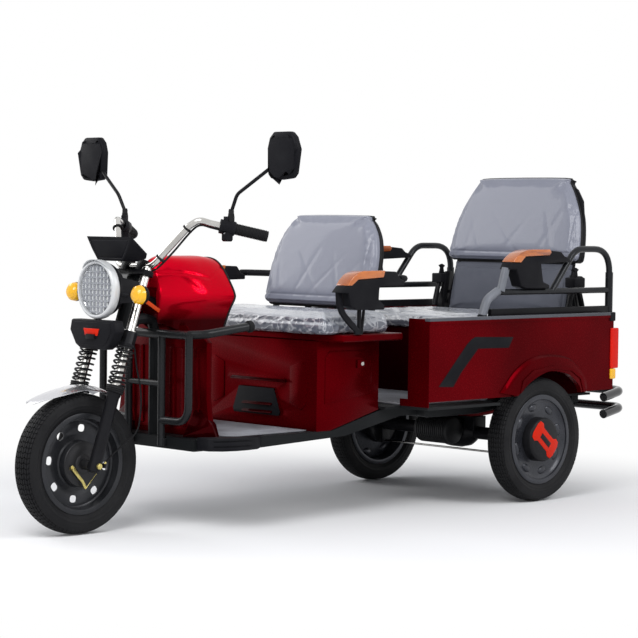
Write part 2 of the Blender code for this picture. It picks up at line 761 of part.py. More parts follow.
# Handlebar and what it carries
def handlebar():
    half = [BAR_CLAMP + Vector((0.086, 0, 0)), BAR_CLAMP + Vector((0.160, 0.0489, 0.1246)),
            BAR_CLAMP + Vector((0.205, 0.0849, 0.1556)), BAR_STRAIGHT, GRIP_END + BAR_ALONG * -0.004]
    other = [point * Vector((-1, 1, 1)) for point in reversed(half)]
    return tube(other + half, BAR_RADIUS, bend=0.03, sides=8)


def along_bar(start, length, radius, sides=12):
    return rod(start, start + BAR_ALONG * length, radius, sides)


def bar_bore(start, length):
    return along_bar(start - BAR_ALONG * 0.01, length, BAR_RADIUS + 0.0008, 12)


def switch_housing():
    """The clamp-on switch block with the mirror's threaded boss."""
    block = along_bar(HOUSING_START, HOUSING_LENGTH, 0.0215, 12)
    middle = HOUSING_START + BAR_ALONG * (HOUSING_LENGTH / 2)
    pod = box((middle.x - 0.015, middle.x + 0.015), (middle.y - 0.013, middle.y + 0.013),
              (middle.z - 0.041, middle.z - 0.004))
    pod = rounded(pod, 0.005, 1, 40)
    boss = rod(MIRROR_FOOT - Vector((0, 0, 0.024)), MIRROR_FOOT - Vector((0, 0, GAP)), 0.0085, 10)
    return cut(fused(block, pod, boss), bar_bore(HOUSING_START, 0.08))


def grip():
    sleeve = along_bar(GRIP_START, GRIP_LENGTH, GRIP_RADIUS)
    flange = along_bar(GRIP_START, 0.005, GRIP_RADIUS + 0.004)
    return cut(fused(sleeve, flange), bar_bore(GRIP_START, GRIP_LENGTH + 0.0065))


def mirror():
    """A bent stalk on the switch block and a six-sided shell with rounded corners."""
    foot = MIRROR_FOOT
    knee = foot + Vector((0.0444, 0.0137, 0.0736))
    neck = foot + Vector((0.2084, 0.0387, 0.1726))
    stalk = tube([foot + Vector((0, 0, 0.004)), foot + Vector((0.002, 0, 0.024)), knee, neck], 0.0045, bend=0.02,
                 sides=6)
    sleeve = rod(foot, foot + Vector((0, 0, 0.026)), 0.0075, 10)
    outline = [(-0.049, 0.050), (-0.039, 0.084), (-0.021, 0.103), (0.057, 0.103), (0.076, 0.086), (0.092, 0.046),
               (0.079, -0.032), (0.065, -0.047), (0.014, -0.052), (-0.032, -0.047), (-0.045, -0.034)]
    outline = [(neck.x + x, neck.z + z) for x, z in outline]
    shell = rounded(prism(outline, "y", neck.y - 0.004, neck.y + 0.024), 0.008, 1, 50)
    return fused(sleeve, stalk, shell)


finish("handlebar", handlebar(), "steering", CHROME, 0.12, 1.0)
for side, word in SIDES:
    finish("switch_housing_" + word, sided(switch_housing, side), "steering", BLACK, 0.5)
    finish("mirror_" + word, sided(mirror, side), "mirror_" + word, BLACK, 0.4)
finish("left_grip", grip(), "steering", RUBBER, 0.7)
finish("throttle_grip", mirrored(grip()), "throttle", RUBBER, 0.7)


# Main frame
def frame_rail():
    """Left floor rail: level at the front, kicked up to the rear body behind the seat box."""
    low = FLOOR_HEIGHT - RAIL_DEPTH
    rear_low = REAR_FLOOR_HEIGHT - RAIL_DEPTH + 0.006
    side_view = [(0.4207, low), (0.937, low + 0.019), (1.213, rear_low), (RAIL_REAR, rear_low),
                 (RAIL_REAR, REAR_FLOOR_HEIGHT), (1.135, REAR_FLOOR_HEIGHT), (0.863, FLOOR_HEIGHT),
                 (0.4207, FLOOR_HEIGHT)]
    rail = prism(side_view, "x", RAIL_OUTER - RAIL_WIDTH, RAIL_OUTER)
    corner = [(FRAME_FRONT_HALF - 0.045, FRAME_FRONT + 0.030), (FRAME_FRONT_HALF - 0.001, FRAME_FRONT + 0.030),
              (RAIL_OUTER - 0.0015, 0.421), (RAIL_OUTER - 0.0015, 0.450), (RAIL_OUTER - RAIL_WIDTH + 0.001, 0.450)]
    return fused(rail, prism(corner, "z", low + 0.002, FLOOR_HEIGHT - 0.001))


def head_tube():
    low, high = LOWER_YOKE + LOWER_YOKE_DEPTH + GAP, UPPER_YOKE - GAP
    outer = rod((0, STEM_SETBACK, low), (0, STEM_SETBACK, high), HEAD_TUBE_RADIUS, 16)
    return leaned(outer)


def pedal_lugs():
    lugs = []
    for low, high in ((-0.046, -0.0403), (0.0403, 0.046)):
        lugs.append(box((PEDAL_PIVOT.x + low, PEDAL_PIVOT.x + high), (PEDAL_PIVOT.y - 0.012, PEDAL_PIVOT.y + 0.012),
                        (PAN_TOP - 0.002, PEDAL_PIVOT.z + 0.012)))
    return lugs


REAR_RAIL_X = 0.120
DOWN_TUBE_Y = 0.3245


def main_frame():
    """Rails, cross members, floor sheets, down tube and head tube, welded into one."""
    low = FLOOR_HEIGHT - RAIL_DEPTH
    rear_low = REAR_FLOOR_HEIGHT - RAIL_DEPTH
    cross = box((-FRAME_FRONT_HALF, FRAME_FRONT_HALF), (FRAME_FRONT, FRAME_FRONT + 0.040),
                (low, FLOOR_HEIGHT + 0.001))
    edge = RAIL_OUTER - 0.0006
    floor = prism([(-FRAME_FRONT_HALF, FRAME_FRONT + 0.01), (FRAME_FRONT_HALF, FRAME_FRONT + 0.01),
                   (edge, 0.4205), (edge, 0.870), (-edge, 0.870), (-edge, 0.4205)],
                  "z", FLOOR_HEIGHT - SHEET, PAN_TOP)
    under_seat = box((-0.255, 0.255), (0.860, BOX_REAR), (FLOOR_HEIGHT - SHEET + 0.001, PAN_TOP - 0.001))
    wide = BODY_HALF - BODY_SHEET - GAP
    narrow = REAR_WHEEL_X - TYRE_WIDTH / 2 - 0.016
    wheel_from = WHEELBASE - TYRE_RADIUS - 0.017
    entry = RAIL_OUTER + 0.030
    pan_low = REAR_FLOOR_HEIGHT - 0.002
    pan = box((-wide, wide), (BODY_FRONT, wheel_from), (pan_low, REAR_PAN_TOP))
    inset = (pan_low + 0.001, REAR_PAN_TOP - 0.0005)
    front_pan = box((-entry, entry), (BOX_REAR + 0.005, BODY_FRONT + 0.010), inset)
    rear_pan = box((-narrow, narrow), (wheel_from - 0.010, BODY_REAR - 0.004), inset)
    left = RAIL_OUTER - 0.010
    top = REAR_FLOOR_HEIGHT + 0.001
    step_cross = box((-left, left), (1.140, 1.170), (rear_low + 0.010, top))
    middle_cross = box((-left, left), (RAIL_REAR - 0.040, RAIL_REAR - 0.001), (rear_low + 0.003, top))
    seat_cross = box((-0.270, 0.270), (0.830, 0.860), (low + 0.022, FLOOR_HEIGHT + 0.001))
    rear_cross = box((-0.300, 0.300), (2.180, 2.220), (rear_low + 0.003, top))
    down = tube([on_fork(0, STEM_SETBACK, LOWER_YOKE + LOWER_YOKE_DEPTH + 0.042), (0, DOWN_TUBE_Y, 0.700),
                 (0, DOWN_TUBE_Y, low + 0.010)], 0.0180, bend=0.045, sides=8)
    spine = tube([on_fork(0, STEM_SETBACK + 0.005, UPPER_YOKE - 0.060), (0, 0.330, 0.752), (0, 0.430, 0.690),
                  (0, 0.430, PAN_TOP - 0.002)], 0.0165, bend=0.06, sides=8)
    post = rod((0, COWL_SEAT_Y, 0.705), (0, COWL_SEAT_Y, COWL_SEAT - GAP), 0.009, 8)
    pieces = [floor, under_seat, cross, frame_rail(), mirrored(frame_rail()), seat_cross, pan, front_pan, rear_pan,
              step_cross, middle_cross, rear_cross, head_tube(), down, spine, post, *pedal_lugs()]
    for side, _ in SIDES:
        x = side * REAR_RAIL_X
        pieces.append(box((x - 0.020, x + 0.020), (RAIL_REAR - 0.060, BODY_REAR + 0.002),
                          (rear_low, REAR_FLOOR_HEIGHT)))
    frame = fused(*pieces)
    steerer = rod((0, STEM_SETBACK, LOWER_YOKE), (0, STEM_SETBACK, UPPER_YOKE + 0.02), STEM_RADIUS + 0.0005, 12)
    pin = rod(PEDAL_PIVOT + Vector((-0.06, 0, 0)), PEDAL_PIVOT + Vector((0.06, 0, 0)), 0.0045, 10)
    return cut(frame, leaned(steerer), pin)


def brake_pedal():
    """A floor pedal: a barrel on its pin, an arm and a ribbed foot pad."""
    left, right = PEDAL_PIVOT.x - 0.040, PEDAL_PIVOT.x + 0.040
    pin = rod(PEDAL_PIVOT + Vector((-0.046, 0, 0)), PEDAL_PIVOT + Vector((0.046, 0, 0)), 0.0041, 10)
    barrel = rod((left, PEDAL_PIVOT.y, PEDAL_PIVOT.z), (right, PEDAL_PIVOT.y, PEDAL_PIVOT.z), 0.010, 12)
    arm = tube([PEDAL_PIVOT, PEDAL_PIVOT + Vector((0, 0.020, 0.050)), PEDAL_PIVOT + Vector((0, 0.060, 0.070))],
               0.006, bend=0.02, sides=8)
    pad = box((left, right), (PEDAL_PIVOT.y + 0.048, PEDAL_PIVOT.y + 0.100),
              (PEDAL_PIVOT.z + 0.066, PEDAL_PIVOT.z + 0.076))
    return fused(barrel, pin, arm, pad)


finish("main_frame", main_frame(), "chassis", FRAME_GREY, 0.5, 0.4)
finish("brake_pedal", brake_pedal(), "brake_pedal", BLACK, 0.5, 0.3)


# Front guard, shield, cowl and steps
def front_guard():
    """Bent crash bars on the front cross member, with a bar back along each side of the cowl."""
    foot = FLOOR_HEIGHT - RAIL_DEPTH + 0.010
    knee_end = (0.260, 0.521, 0.674)
    pieces = [tube([(-GUARD_OUTER, GUARD_Y, GUARD_TOP), (GUARD_OUTER, GUARD_Y, GUARD_TOP)], GUARD_TUBE, sides=8),
              tube([(-GUARD_INNER, GUARD_Y, 0.483), (GUARD_INNER, GUARD_Y, 0.483)], 0.010, sides=6)]
    for side, _ in SIDES:
        inner, outer = side * GUARD_INNER, side * GUARD_OUTER
        pieces.append(tube([(inner, GUARD_Y, GUARD_TOP), (inner, GUARD_Y, foot)], GUARD_TUBE * 0.85, sides=6))
        pieces.append(box(sorted((inner - 0.015, inner + 0.015)), (GUARD_Y - 0.004, FRAME_FRONT - GAP),
                          (foot - 0.002, FLOOR_HEIGHT - 0.004)))
        pieces.append(tube([(outer, GUARD_Y, GUARD_TOP), (outer, GUARD_Y, 0.362), (inner, GUARD_Y, 0.362)],
                           GUARD_TUBE * 0.85, bend=0.055, sides=6))
        pieces.append(tube([(outer - side * 0.012, GUARD_Y, GUARD_TOP), (side * 0.240, 0.340, 0.651),
                            (side * knee_end[0], *knee_end[1:])], GUARD_TUBE, bend=0.04, sides=8))
        pieces.append(rod((side * knee_end[0], knee_end[1] - 0.012, knee_end[2] - 0.001),
                          (side * knee_end[0], knee_end[1] + 0.006, knee_end[2] + 0.001), 0.0205, 12))
    return fused(*pieces)


def leg_shield():
    """A pressed panel with a returned edge, flared lower corners and upright ribs."""
    foot = PAN_TOP + GAP
    half = [(SHIELD_HALF + 0.014, foot), (SHIELD_HALF + 0.012, foot + 0.050), (SHIELD_HALF, foot + 0.125),
            (SHIELD_HALF, SHIELD_TOP - 0.020), (SHIELD_HALF - 0.020, SHIELD_TOP)]
    outline = half + [(-x, z) for x, z in reversed(half)]
    depth = 0.022
    panel = prism(outline, "y", SHIELD_Y, SHIELD_Y + depth)
    middle = (foot + SHIELD_TOP) / 2
    inner = [(x * 0.955, middle + (z - middle) * 0.965) for x, z in outline]
    panel = cut(panel, prism(inner, "y", SHIELD_Y + 0.004, SHIELD_Y + depth + 0.01))
    ribs = []
    for side, _ in SIDES:
        for x, width in ((0.052, 0.016), (0.108, 0.012), (0.165, 0.024)):
            rib = [(side * (x - width), foot + 0.030), (side * (x + width), foot + 0.030),
                   (side * (x + width * 0.7), SHIELD_TOP - 0.040), (side * (x - width * 0.7), SHIELD_TOP - 0.040)]
            ribs.append(prism(rib, "y", SHIELD_Y - 0.006, SHIELD_Y + 0.002))
    slot = box((-0.024, 0.024), (SHIELD_Y - 0.02, SHIELD_Y + 0.03), (SHIELD_TOP - 0.030, SHIELD_TOP + 0.01))
    return cut(fused(panel, *ribs), slot)


def cowl_section(t):
    """Half of the cowl's outline at a share t of its length, from the crest down to the hem."""
    half = COWL_HALF * (0.42 + 0.58 * math.sin(math.pi / 2 * min(1.0, t * 1.6 + 0.06)) ** 1.0)
    crest = COWL_CREST - 0.022 * (1 - min(1.0, t * 5)) ** 2 - 0.024 * max(0.0, (t - 0.72) / 0.28) ** 2
    hem = 0.655 + 0.105 * max(0.0, 1 - t / 0.52)
    waist = 0.762 + 0.020 * max(0.0, 1 - t / 0.4)
    return [(0, crest), (half * 0.30, crest - 0.004), (half * 0.58, crest - 0.028), (half * 0.80, crest - 0.062),
            (half * 0.97, (crest + waist) / 2 - 0.020), (half, waist), (half * 0.96, (waist + hem) / 2),
            (half * 0.80, hem)]


def tank_cowl():
    """The tank-shaped cover over the spine: a lofted shell, open below."""
    stations = 7
    bm = bmesh.new()
    rows = []
    for station in range(stations):
        t = station / (stations - 1)
        y = COWL_FRONT + (COWL_REAR - COWL_FRONT) * t
        half = cowl_section(t)
        line = [(-x, z) for x, z in reversed(half[1:])] + half
        lean = 0.030 * t
        crest = half[0][1]
        rows.append([bm.verts.new((x, y - lean * (crest - z) / 0.25, z)) for x, z in line])
    for near, far in zip(rows, rows[1:]):
        for a, b, c, d in zip(near, near[1:], far[1:], far):
            bm.faces.new((a, b, c, d))
    for row in (rows[0], rows[-1]):
        middle = len(row) // 2
        for index in range(middle):
            corners = [row[index], row[index + 1], row[-2 - index], row[-1 - index]]
            if index + 1 == middle:
                corners = [row[index], row[index + 1], row[-1 - index]]
            bm.faces.new(corners)
    bmesh.ops.recalc_face_normals(bm, faces=bm.faces)
    mesh = bpy.data.meshes.new("cowl")
    bm.to_mesh(mesh)
    bm.free()
    shell = new_object("cowl", mesh)
    wall = shell.modifiers.new("Wall", "SOLIDIFY")
    wall.thickness = COWL_WALL
    wall.offset = -1
    wall.use_even_offset = True
    seat = box((-0.020, 0.020), (COWL_SEAT_Y - 0.018, COWL_SEAT_Y + 0.018), (COWL_SEAT, COWL_CREST - 0.0025))
    shell = fused(applied(shell), seat)
    return cut(shell, box((-0.045, 0.045), (0.28, 0.345), (0.60, 0.800)))


def side_step():
    """A ribbed foot step that bulges out from the front end of the left rail."""
    low = FLOOR_HEIGHT - RAIL_DEPTH + 0.004
    inner = [(RAIL_OUTER + GAP, 0.540), (RAIL_OUTER + GAP, 0.4200), (FRAME_FRONT_HALF + 0.0007, 0.3095)]
    outer = [(0.285, 0.318), (0.318, 0.352), (0.334, 0.400), (0.337, 0.445), (0.330, 0.500)]
    step = prism(inner + outer, "z", low, FLOOR_HEIGHT + 0.010)
    step = rounded(step, 0.003, 1, 50)
    grooves = []
    for bottom in (low + 0.012, low + 0.029):
        ring = [(0.30, 0.330), (0.3325, 0.352), (0.360, 0.400), (0.360, 0.500), (0.345, 0.530), (0.3335, 0.498),
                (0.3335, 0.448), (0.3305, 0.402), (0.3155, 0.3555), (0.295, 0.333)]
        grooves.append(prism(ring, "z", bottom, bottom + 0.005))
    return cut(step, *grooves)


finish("front_guard", front_guard(), "chassis", BLACK, 0.45, 0.3)
finish("leg_shield", leg_shield(), "chassis", RED, 0.25, 0.2)
finish("tank_cowl", tank_cowl(), "chassis", RED, 0.2, 0.2, smooth=50)
for side, word in SIDES:
    finish("side_step_" + word, sided(side_step, side), "chassis", BLACK, 0.6)


# Driver's seat
def seat_box():
    """An open-topped battery box with a vent in front, a door recess on each side and a shelf inside."""
    foot = PAN_TOP + GAP
    kick = 0.8625
    slope = (REAR_FLOOR_HEIGHT - FLOOR_HEIGHT) / (1.135 - 0.863)
    rear_foot = foot + (BOX_REAR - kick) * slope + 0.002
    side_view = [(BOX_FRONT, foot), (kick, foot), (BOX_REAR, rear_foot), (BOX_REAR, BOX_TOP), (BOX_FRONT, BOX_TOP)]
    shell = prism(side_view, "x", -BOX_HALF, BOX_HALF)
    wall = 0.003
    shelf = SHELF_TOP - 0.003
    upper = box((-BOX_HALF + wall, BOX_HALF - wall), (BOX_FRONT + wall, BOX_REAR - wall), (SHELF_TOP, BOX_TOP + 0.01))
    lower = box((-BOX_HALF + wall, BOX_HALF - wall), (BOX_FRONT + wall, BOX_REAR - wall), (foot - 0.01, shelf))
    vent = prism([(-0.115, 0.366), (0.115, 0.366), (0.090, 0.444), (-0.090, 0.444)], "y",
                 BOX_FRONT - 0.01, BOX_FRONT + 0.05)
    shell = cut(shell, upper, lower, vent)
    pieces = [shell]
    for z in (0.374, 0.392, 0.410, 0.428):
        half = 0.112 - (z - 0.366) * 0.32
        pieces.append(box((-half - 0.006, half + 0.006), (BOX_FRONT - 0.0015, BOX_FRONT + 0.003), (z, z + 0.008)))
    pieces.append(prism([(-0.150, 0.474), (0.150, 0.474), (0.141, 0.484), (-0.141, 0.484)], "y",
                        BOX_FRONT - 0.007, BOX_FRONT + 0.002))
    for side, _ in SIDES:
        panel = [(side * 0.170, 0.398), (side * 0.225, 0.378), (side * 0.248, 0.400), (side * 0.248, 0.520),
                 (side * 0.225, 0.546), (side * 0.170, 0.525)]
        pieces.append(prism(panel, "y", BOX_FRONT - 0.0035, BOX_FRONT + 0.001))
        door = [(0.835, 0.400), (1.065, 0.430), (1.065, 0.560), (1.045, 0.582), (0.855, 0.582), (0.835, 0.560)]
        low, high = sorted((side * (BOX_HALF - 0.001), side * (BOX_HALF + 0.0025)))
        pieces.append(prism(door, "x", low, high))
        latch = sorted((side * (BOX_HALF + 0.001), side * (BOX_HALF + 0.009)))
        pieces.append(box(latch, (0.985, 1.035), (0.520, 0.548)))
    return fused(*pieces)


SHELF_TOP = 0.375


def battery_pack():
    case = box((-0.215, 0.215), (BOX_FRONT + 0.030, BOX_REAR - 0.030), (SHELF_TOP + GAP, 0.545))
    handle = tube([(-0.06, 0.945, 0.535), (-0.06, 0.945, 0.575), (0.06, 0.945, 0.575), (0.06, 0.945, 0.535)], 0.006,
                  bend=0.015, sides=8)
    return fused(rounded(case, 0.006, 1, 50), handle)


def seat_lid():
    """The pressed seat base whose lips stand out past the box and carry the armrests."""
    half = [(BOX_HALF, BOX_FRONT + 0.003), (LID_HALF, BOX_FRONT + 0.026), (LID_HALF, LID_REAR)]
    outline = half + [(-x, y) for x, y in reversed(half)]
    plate = rounded(prism(outline, "z", LID_BOTTOM, LID_TOP), 0.004, 1, 50)
    hollow = box((-BOX_HALF + 0.02, BOX_HALF - 0.02), (BOX_FRONT + 0.02, BOX_REAR - 0.02),
                 (LID_BOTTOM - 0.01, LID_TOP - 0.004))
    return cut(plate, hollow)


def pillow(xs, ys, zs, crown, tuck, rows=5, columns=6):
    """A cushion: a crowned top over sides that draw in towards the seam, between X, Y and Z limits."""
    bm = bmesh.new()
    bmesh.ops.create_grid(bm, x_segments=columns, y_segments=rows, size=0.5)
    bottom = list(bm.faces)
    result = bmesh.ops.extrude_face_region(bm, geom=bottom)
    top = [item for item in result["geom"] if isinstance(item, bmesh.types.BMVert)]
    bmesh.ops.translate(bm, verts=top, vec=(0, 0, 1))
    sides = [edge for edge in bm.edges if abs(edge.verts[0].co.z - edge.verts[1].co.z) > 0.5]
    bmesh.ops.subdivide_edges(bm, edges=sides, cuts=2, use_grid_fill=True)
    width, depth, height = xs[1] - xs[0], ys[1] - ys[0], zs[1] - zs[0]
    for vert in bm.verts:
        u, v, w = vert.co.x * 2, vert.co.y * 2, vert.co.z
        edge_fall = (1 - abs(u) ** 6) * (1 - abs(v) ** 6)
        corner = max(0.0, abs(u) + abs(v) - 1.55) * 0.10
        belly = tuck * (1 - 4 * (w - 0.5) ** 2)
        grow = 1 - corner - 2 * tuck / max(width, depth) * 1.0
        x = (xs[0] + xs[1]) / 2 + u * (width / 2 * grow + belly * (abs(u) > 0.99))
        y = (ys[0] + ys[1]) / 2 + v * (depth / 2 * grow + belly * (abs(v) > 0.99))
        z = zs[0] + w * (height - crown) + (crown * edge_fall if w > 0.99 else 0)
        vert.co = (x, y, z)
    bmesh.ops.recalc_face_normals(bm, faces=bm.faces)
    mesh = bpy.data.meshes.new("pillow")
    bm.to_mesh(mesh)
    bm.free()
    return rounded(new_object("pillow", mesh), 0.010, 1, 50)


def front_cushion():
    return pillow((-CUSHION_HALF, CUSHION_HALF), (CUSHION_FRONT, CUSHION_REAR), (LID_TOP + GAP, CUSHION_TOP),
                  0.014, 0.006)


BACK_FOOT = 0.735
BACK_FRONT = 1.048
BACK_DEPTH = 0.056


def back_outline(half, foot, top, shoulder):
    """A seat back seen from the front: widest a third of the way up, with sloped rounded shoulders."""
    side = [(half * 0.955, foot), (half * 0.99, foot + (top - foot) * 0.18), (half, foot + (top - foot) * 0.50),
            (half * 0.93, foot + (top - foot) * 0.76), (half * 0.82, foot + (top - foot) * 0.90),
            (half * shoulder, top)]
    return side + [(-x, z) for x, z in reversed(side)]


def reclined(solid, y, z, angle):
    """A solid turned back about a crosswise line."""
    hinge = Matrix.Translation((0, y, z))
    return moved(solid, hinge @ Matrix.Rotation(-angle, 4, "X") @ hinge.inverted())


def padded_back(half, foot, top, shoulder, front, depth, crown):
    """A seat back cushion: the outline with a crowned front and rounded edges."""
    pad = prism(back_outline(half, foot, top, shoulder), "y", front + crown, front + depth)
    pad = rounded(pad, 0.016, 2, 50)
    inner = prism(back_outline(half * 0.86, foot + 0.030, top - 0.030, shoulder), "y", front, front + depth / 2)
    return fused(pad, rounded(inner, crown * 0.95, 2, 50))


def front_backrest():
    length = BACK_FOOT + (BACK_TOP - BACK_FOOT) / math.cos(BACK_RECLINE)
    pad = padded_back(BACK_HALF, BACK_FOOT, length, 0.62, BACK_FRONT, BACK_DEPTH, 0.010)
    return reclined(pad, BACK_FRONT, BACK_FOOT, BACK_RECLINE)


def front_backrest_frame():
    """The backrest's hard shell, its four flat posts on the lid and the bar that joins the armrests."""
    length = BACK_FOOT + (BACK_TOP - BACK_FOOT) / math.cos(BACK_RECLINE)
    rear = BACK_FRONT + BACK_DEPTH + GAP
    shell = prism(back_outline(BACK_HALF - 0.004, BACK_FOOT, length - 0.006, 0.62), "y", rear, rear + 0.010)
    shell = reclined(shell, BACK_FRONT, BACK_FOOT, BACK_RECLINE)
    pieces = [shell]
    arm_rear = ARM_REAR + GAP
    pieces.append(tube([(-ARM_X, arm_rear, 0.832), (-ARM_X, arm_rear + 0.030, 0.832), (-0.300, 1.150, 0.832),
                        (0.300, 1.150, 0.832), (ARM_X, arm_rear + 0.030, 0.832), (ARM_X, arm_rear, 0.832)], 0.012,
                       bend=0.03, sides=8))
    for x in (-0.245, -0.075, 0.075, 0.245):
        post = prism([(CUSHION_REAR + 0.004, LID_TOP + GAP), (CUSHION_REAR + 0.016, LID_TOP + GAP), (1.1265, 0.725),
                      (1.147, 0.800), (1.133, 0.800), (1.1135, 0.726)], "x", x - 0.011, x + 0.011)
        pieces.append(post)
    return fused(*pieces)


ARM_REAR = 1.086


def front_armrest():
    """The left armrest: a pad on a moulded block, a curved strap at its nose and a post to the lid."""
    low, high = ARM_X - ARM_WIDTH / 2, ARM_X + ARM_WIDTH / 2
    pad = [(0.745, 0.797), (0.760, 0.812), (0.778, 0.824), (0.820, 0.845), (0.873, 0.855), (1.010, 0.856),
           (1.070, 0.850), (ARM_REAR, 0.840), (ARM_REAR, 0.815), (0.990, 0.808), (0.987, 0.765), (1.013, 0.729),
           (0.851, 0.732), (0.838, 0.790), (0.800, 0.796), (0.775, 0.790)]
    block = rounded(prism(pad, "x", low, high), 0.004, 1, 50)
    foot_x = LID_HALF - 0.014
    foot = LID_TOP + 0.0075
    strap = tube([(ARM_X, 0.785, 0.796), (ARM_X - 0.004, 0.772, 0.752), (foot_x, 0.790, 0.700), (foot_x, 0.843, foot)],
                 0.007, bend=0.04, sides=6)
    post = tube([(ARM_X - 0.004, 0.935, 0.740), (foot_x, 0.905, foot)], 0.0085, sides=6)
    sole = box((foot_x - 0.009, foot_x + 0.009), (0.832, 0.916), (LID_TOP + GAP, LID_TOP + 0.008))
    return fused(block, strap, post, sole)


finish("seat_box", seat_box(), "chassis", RED, 0.25, 0.2)
finish("battery_pack", battery_pack(), "chassis", BLACK, 0.6)
finish("seat_lid", seat_lid(), "front_seat", RED, 0.25, 0.2)
finish("front_cushion", front_cushion(), "front_seat", SEAT_GREY, 0.35)
finish("front_backrest", front_backrest(), "front_seat", SEAT_GREY, 0.45)
finish("front_backrest_frame", front_backrest_frame(), "front_seat", BLACK, 0.5)
for side, word in SIDES:
    finish("front_armrest_" + word, sided(front_armrest, side), "front_seat", BLACK, 0.45)


# Rear body
def arch_points(offset=0.0, steps=6):
    """The wheel arch from front foot to rear foot, as a flattened half round."""
    front, rear, top = 1.672 - offset, 2.029 + offset, 0.492 + offset * 0.9
    middle, half = (front + rear) / 2, (rear - front) / 2
    points = []
    for step in range(steps + 1):
        angle = math.pi * (1 - step / steps)
        y = middle + half * math.copysign(abs(math.cos(angle)) ** 0.75, math.cos(angle))
        z = BODY_BOTTOM + (top - BODY_BOTTOM) * math.sin(angle) ** 0.9
        points.append((y, z))
    return points


def cargo_side():
    """The left body side: sheet with a flared wheel arch, a top ledge, a front pillar and a rear post."""
    inner = BODY_HALF - BODY_SHEET
    ledge_low = BODY_TOP - 0.018
    top = BODY_TOP - 0.004
    sheet_line = [(BODY_FRONT, BODY_BOTTOM)] + arch_points()
    sheet_line += [(BODY_REAR, BODY_BOTTOM), (BODY_REAR, top), (BODY_FRONT, top)]
    sheet = prism(sheet_line, "x", inner, BODY_HALF)
    lip = arch_points() + list(reversed(arch_points(0.014)))
    outer_lip = arch_points(0.010) + list(reversed(arch_points(0.036)))
    flare = prism(lip, "x", BODY_HALF - 0.001, BODY_HALF + ARCH_FLARE)
    skirt = prism(outer_lip, "x", BODY_HALF - 0.001, BODY_HALF + ARCH_FLARE * 0.45)
    ledge = box((LEDGE_INNER, BODY_HALF + 0.004), (BODY_FRONT, BODY_REAR), (ledge_low, BODY_TOP))
    pillar = box((0.366, BODY_HALF - 0.001), (BODY_FRONT, BODY_FRONT + SHEET), (REAR_PAN_TOP + GAP, BODY_TOP))
    foot = box((0.322, 0.370), (BODY_FRONT, BODY_FRONT + SHEET), (REAR_PAN_TOP + GAP, REAR_PAN_TOP + 0.025))
    trim = box((0.362, 0.370), (BODY_FRONT - 0.002, BODY_FRONT + 0.012), (REAR_PAN_TOP + GAP, BODY_TOP))
    post = box((BODY_HALF - 0.040, BODY_HALF - 0.001), (BODY_REAR - SHEET, BODY_REAR), (BODY_BOTTOM, top))
    return fused(sheet, flare, skirt, ledge, pillar, foot, trim, post)


def bench_box():
    """The bench: a sheet box open below, stepped in over the wheels."""
    low_half = REAR_WHEEL_X - TYRE_WIDTH / 2 - 0.016
    high_half = LEDGE_INNER - GAP
    step = 2 * TYRE_RADIUS + WHEEL_CLEARANCE
    foot = REAR_PAN_TOP + GAP

    low = box((-low_half, low_half), (BENCH_FRONT, BENCH_REAR), (foot, step + 0.010))
    high = box((-high_half, high_half), (BENCH_FRONT, BENCH_REAR), (step, BENCH_DECK))
    ys = (BENCH_FRONT + SHEET, BENCH_REAR - SHEET)
    low_space = box((SHEET - low_half, low_half - SHEET), ys, (foot - 0.01, step + 0.020))
    high_space = box((SHEET - high_half, high_half - SHEET), ys, (step + SHEET, BENCH_DECK - SHEET))
    return cut(fused(low, high), fused(low_space, high_space))


def bench_cushion():
    return pillow((-BENCH_CUSHION_HALF, BENCH_CUSHION_HALF), (BENCH_FRONT - 0.025, 2.105),
                  (BENCH_DECK + GAP, BENCH_CUSHION_TOP), 0.012, 0.006)


def handrail():
    """The left side rail: a long bent tube, a raised rear loop and a lower bar on the ledge."""
    x, top, low = HANDRAIL_X, HANDRAIL_HEIGHT, BODY_TOP + RAIL_TUBE + GAP
    foot = rod((x, 1.509, BODY_TOP + GAP), (x, 1.509, BODY_TOP + 0.008), 0.018, 12)
    pieces = [tube([(x, 1.510, BODY_TOP + 0.0045), (x, 1.522, 0.740), (x, 1.590, top), (x, 2.252, top)], RAIL_TUBE,
                   bend=0.06, sides=8),
              tube([(x, 1.914, top), (x, 2.040, 0.945), (x, 2.205, 0.945), (x, 2.254, 0.885), (x, 2.254, low),
                    (x, 1.640, low)], RAIL_TUBE, bend=0.045, sides=8),
              tube([(x, 1.690, low), (x, 1.690, top)], RAIL_TUBE * 0.8, sides=6)]
    return fused(foot, *pieces)


def rear_armrest():
    """The left bench armrest: a padded top on a moulded block that sits on the side rail."""
    low, high = ARM_X - ARM_WIDTH / 2, ARM_X + ARM_WIDTH / 2
    seat = HANDRAIL_HEIGHT + RAIL_TUBE + GAP
    side_view = [(1.607, seat), (1.635, seat), (1.664, 0.866), (1.704, 0.884), (1.735, seat), (1.873, seat),
                 (1.880, 0.900), (1.980, 0.896), (1.994, 0.905), (1.985, 0.922), (1.893, 0.930), (1.760, 0.930),
                 (1.715, 0.925), (1.642, 0.888), (1.615, 0.863)]
    return rounded(prism(side_view, "x", low, high), 0.004, 1, 50)


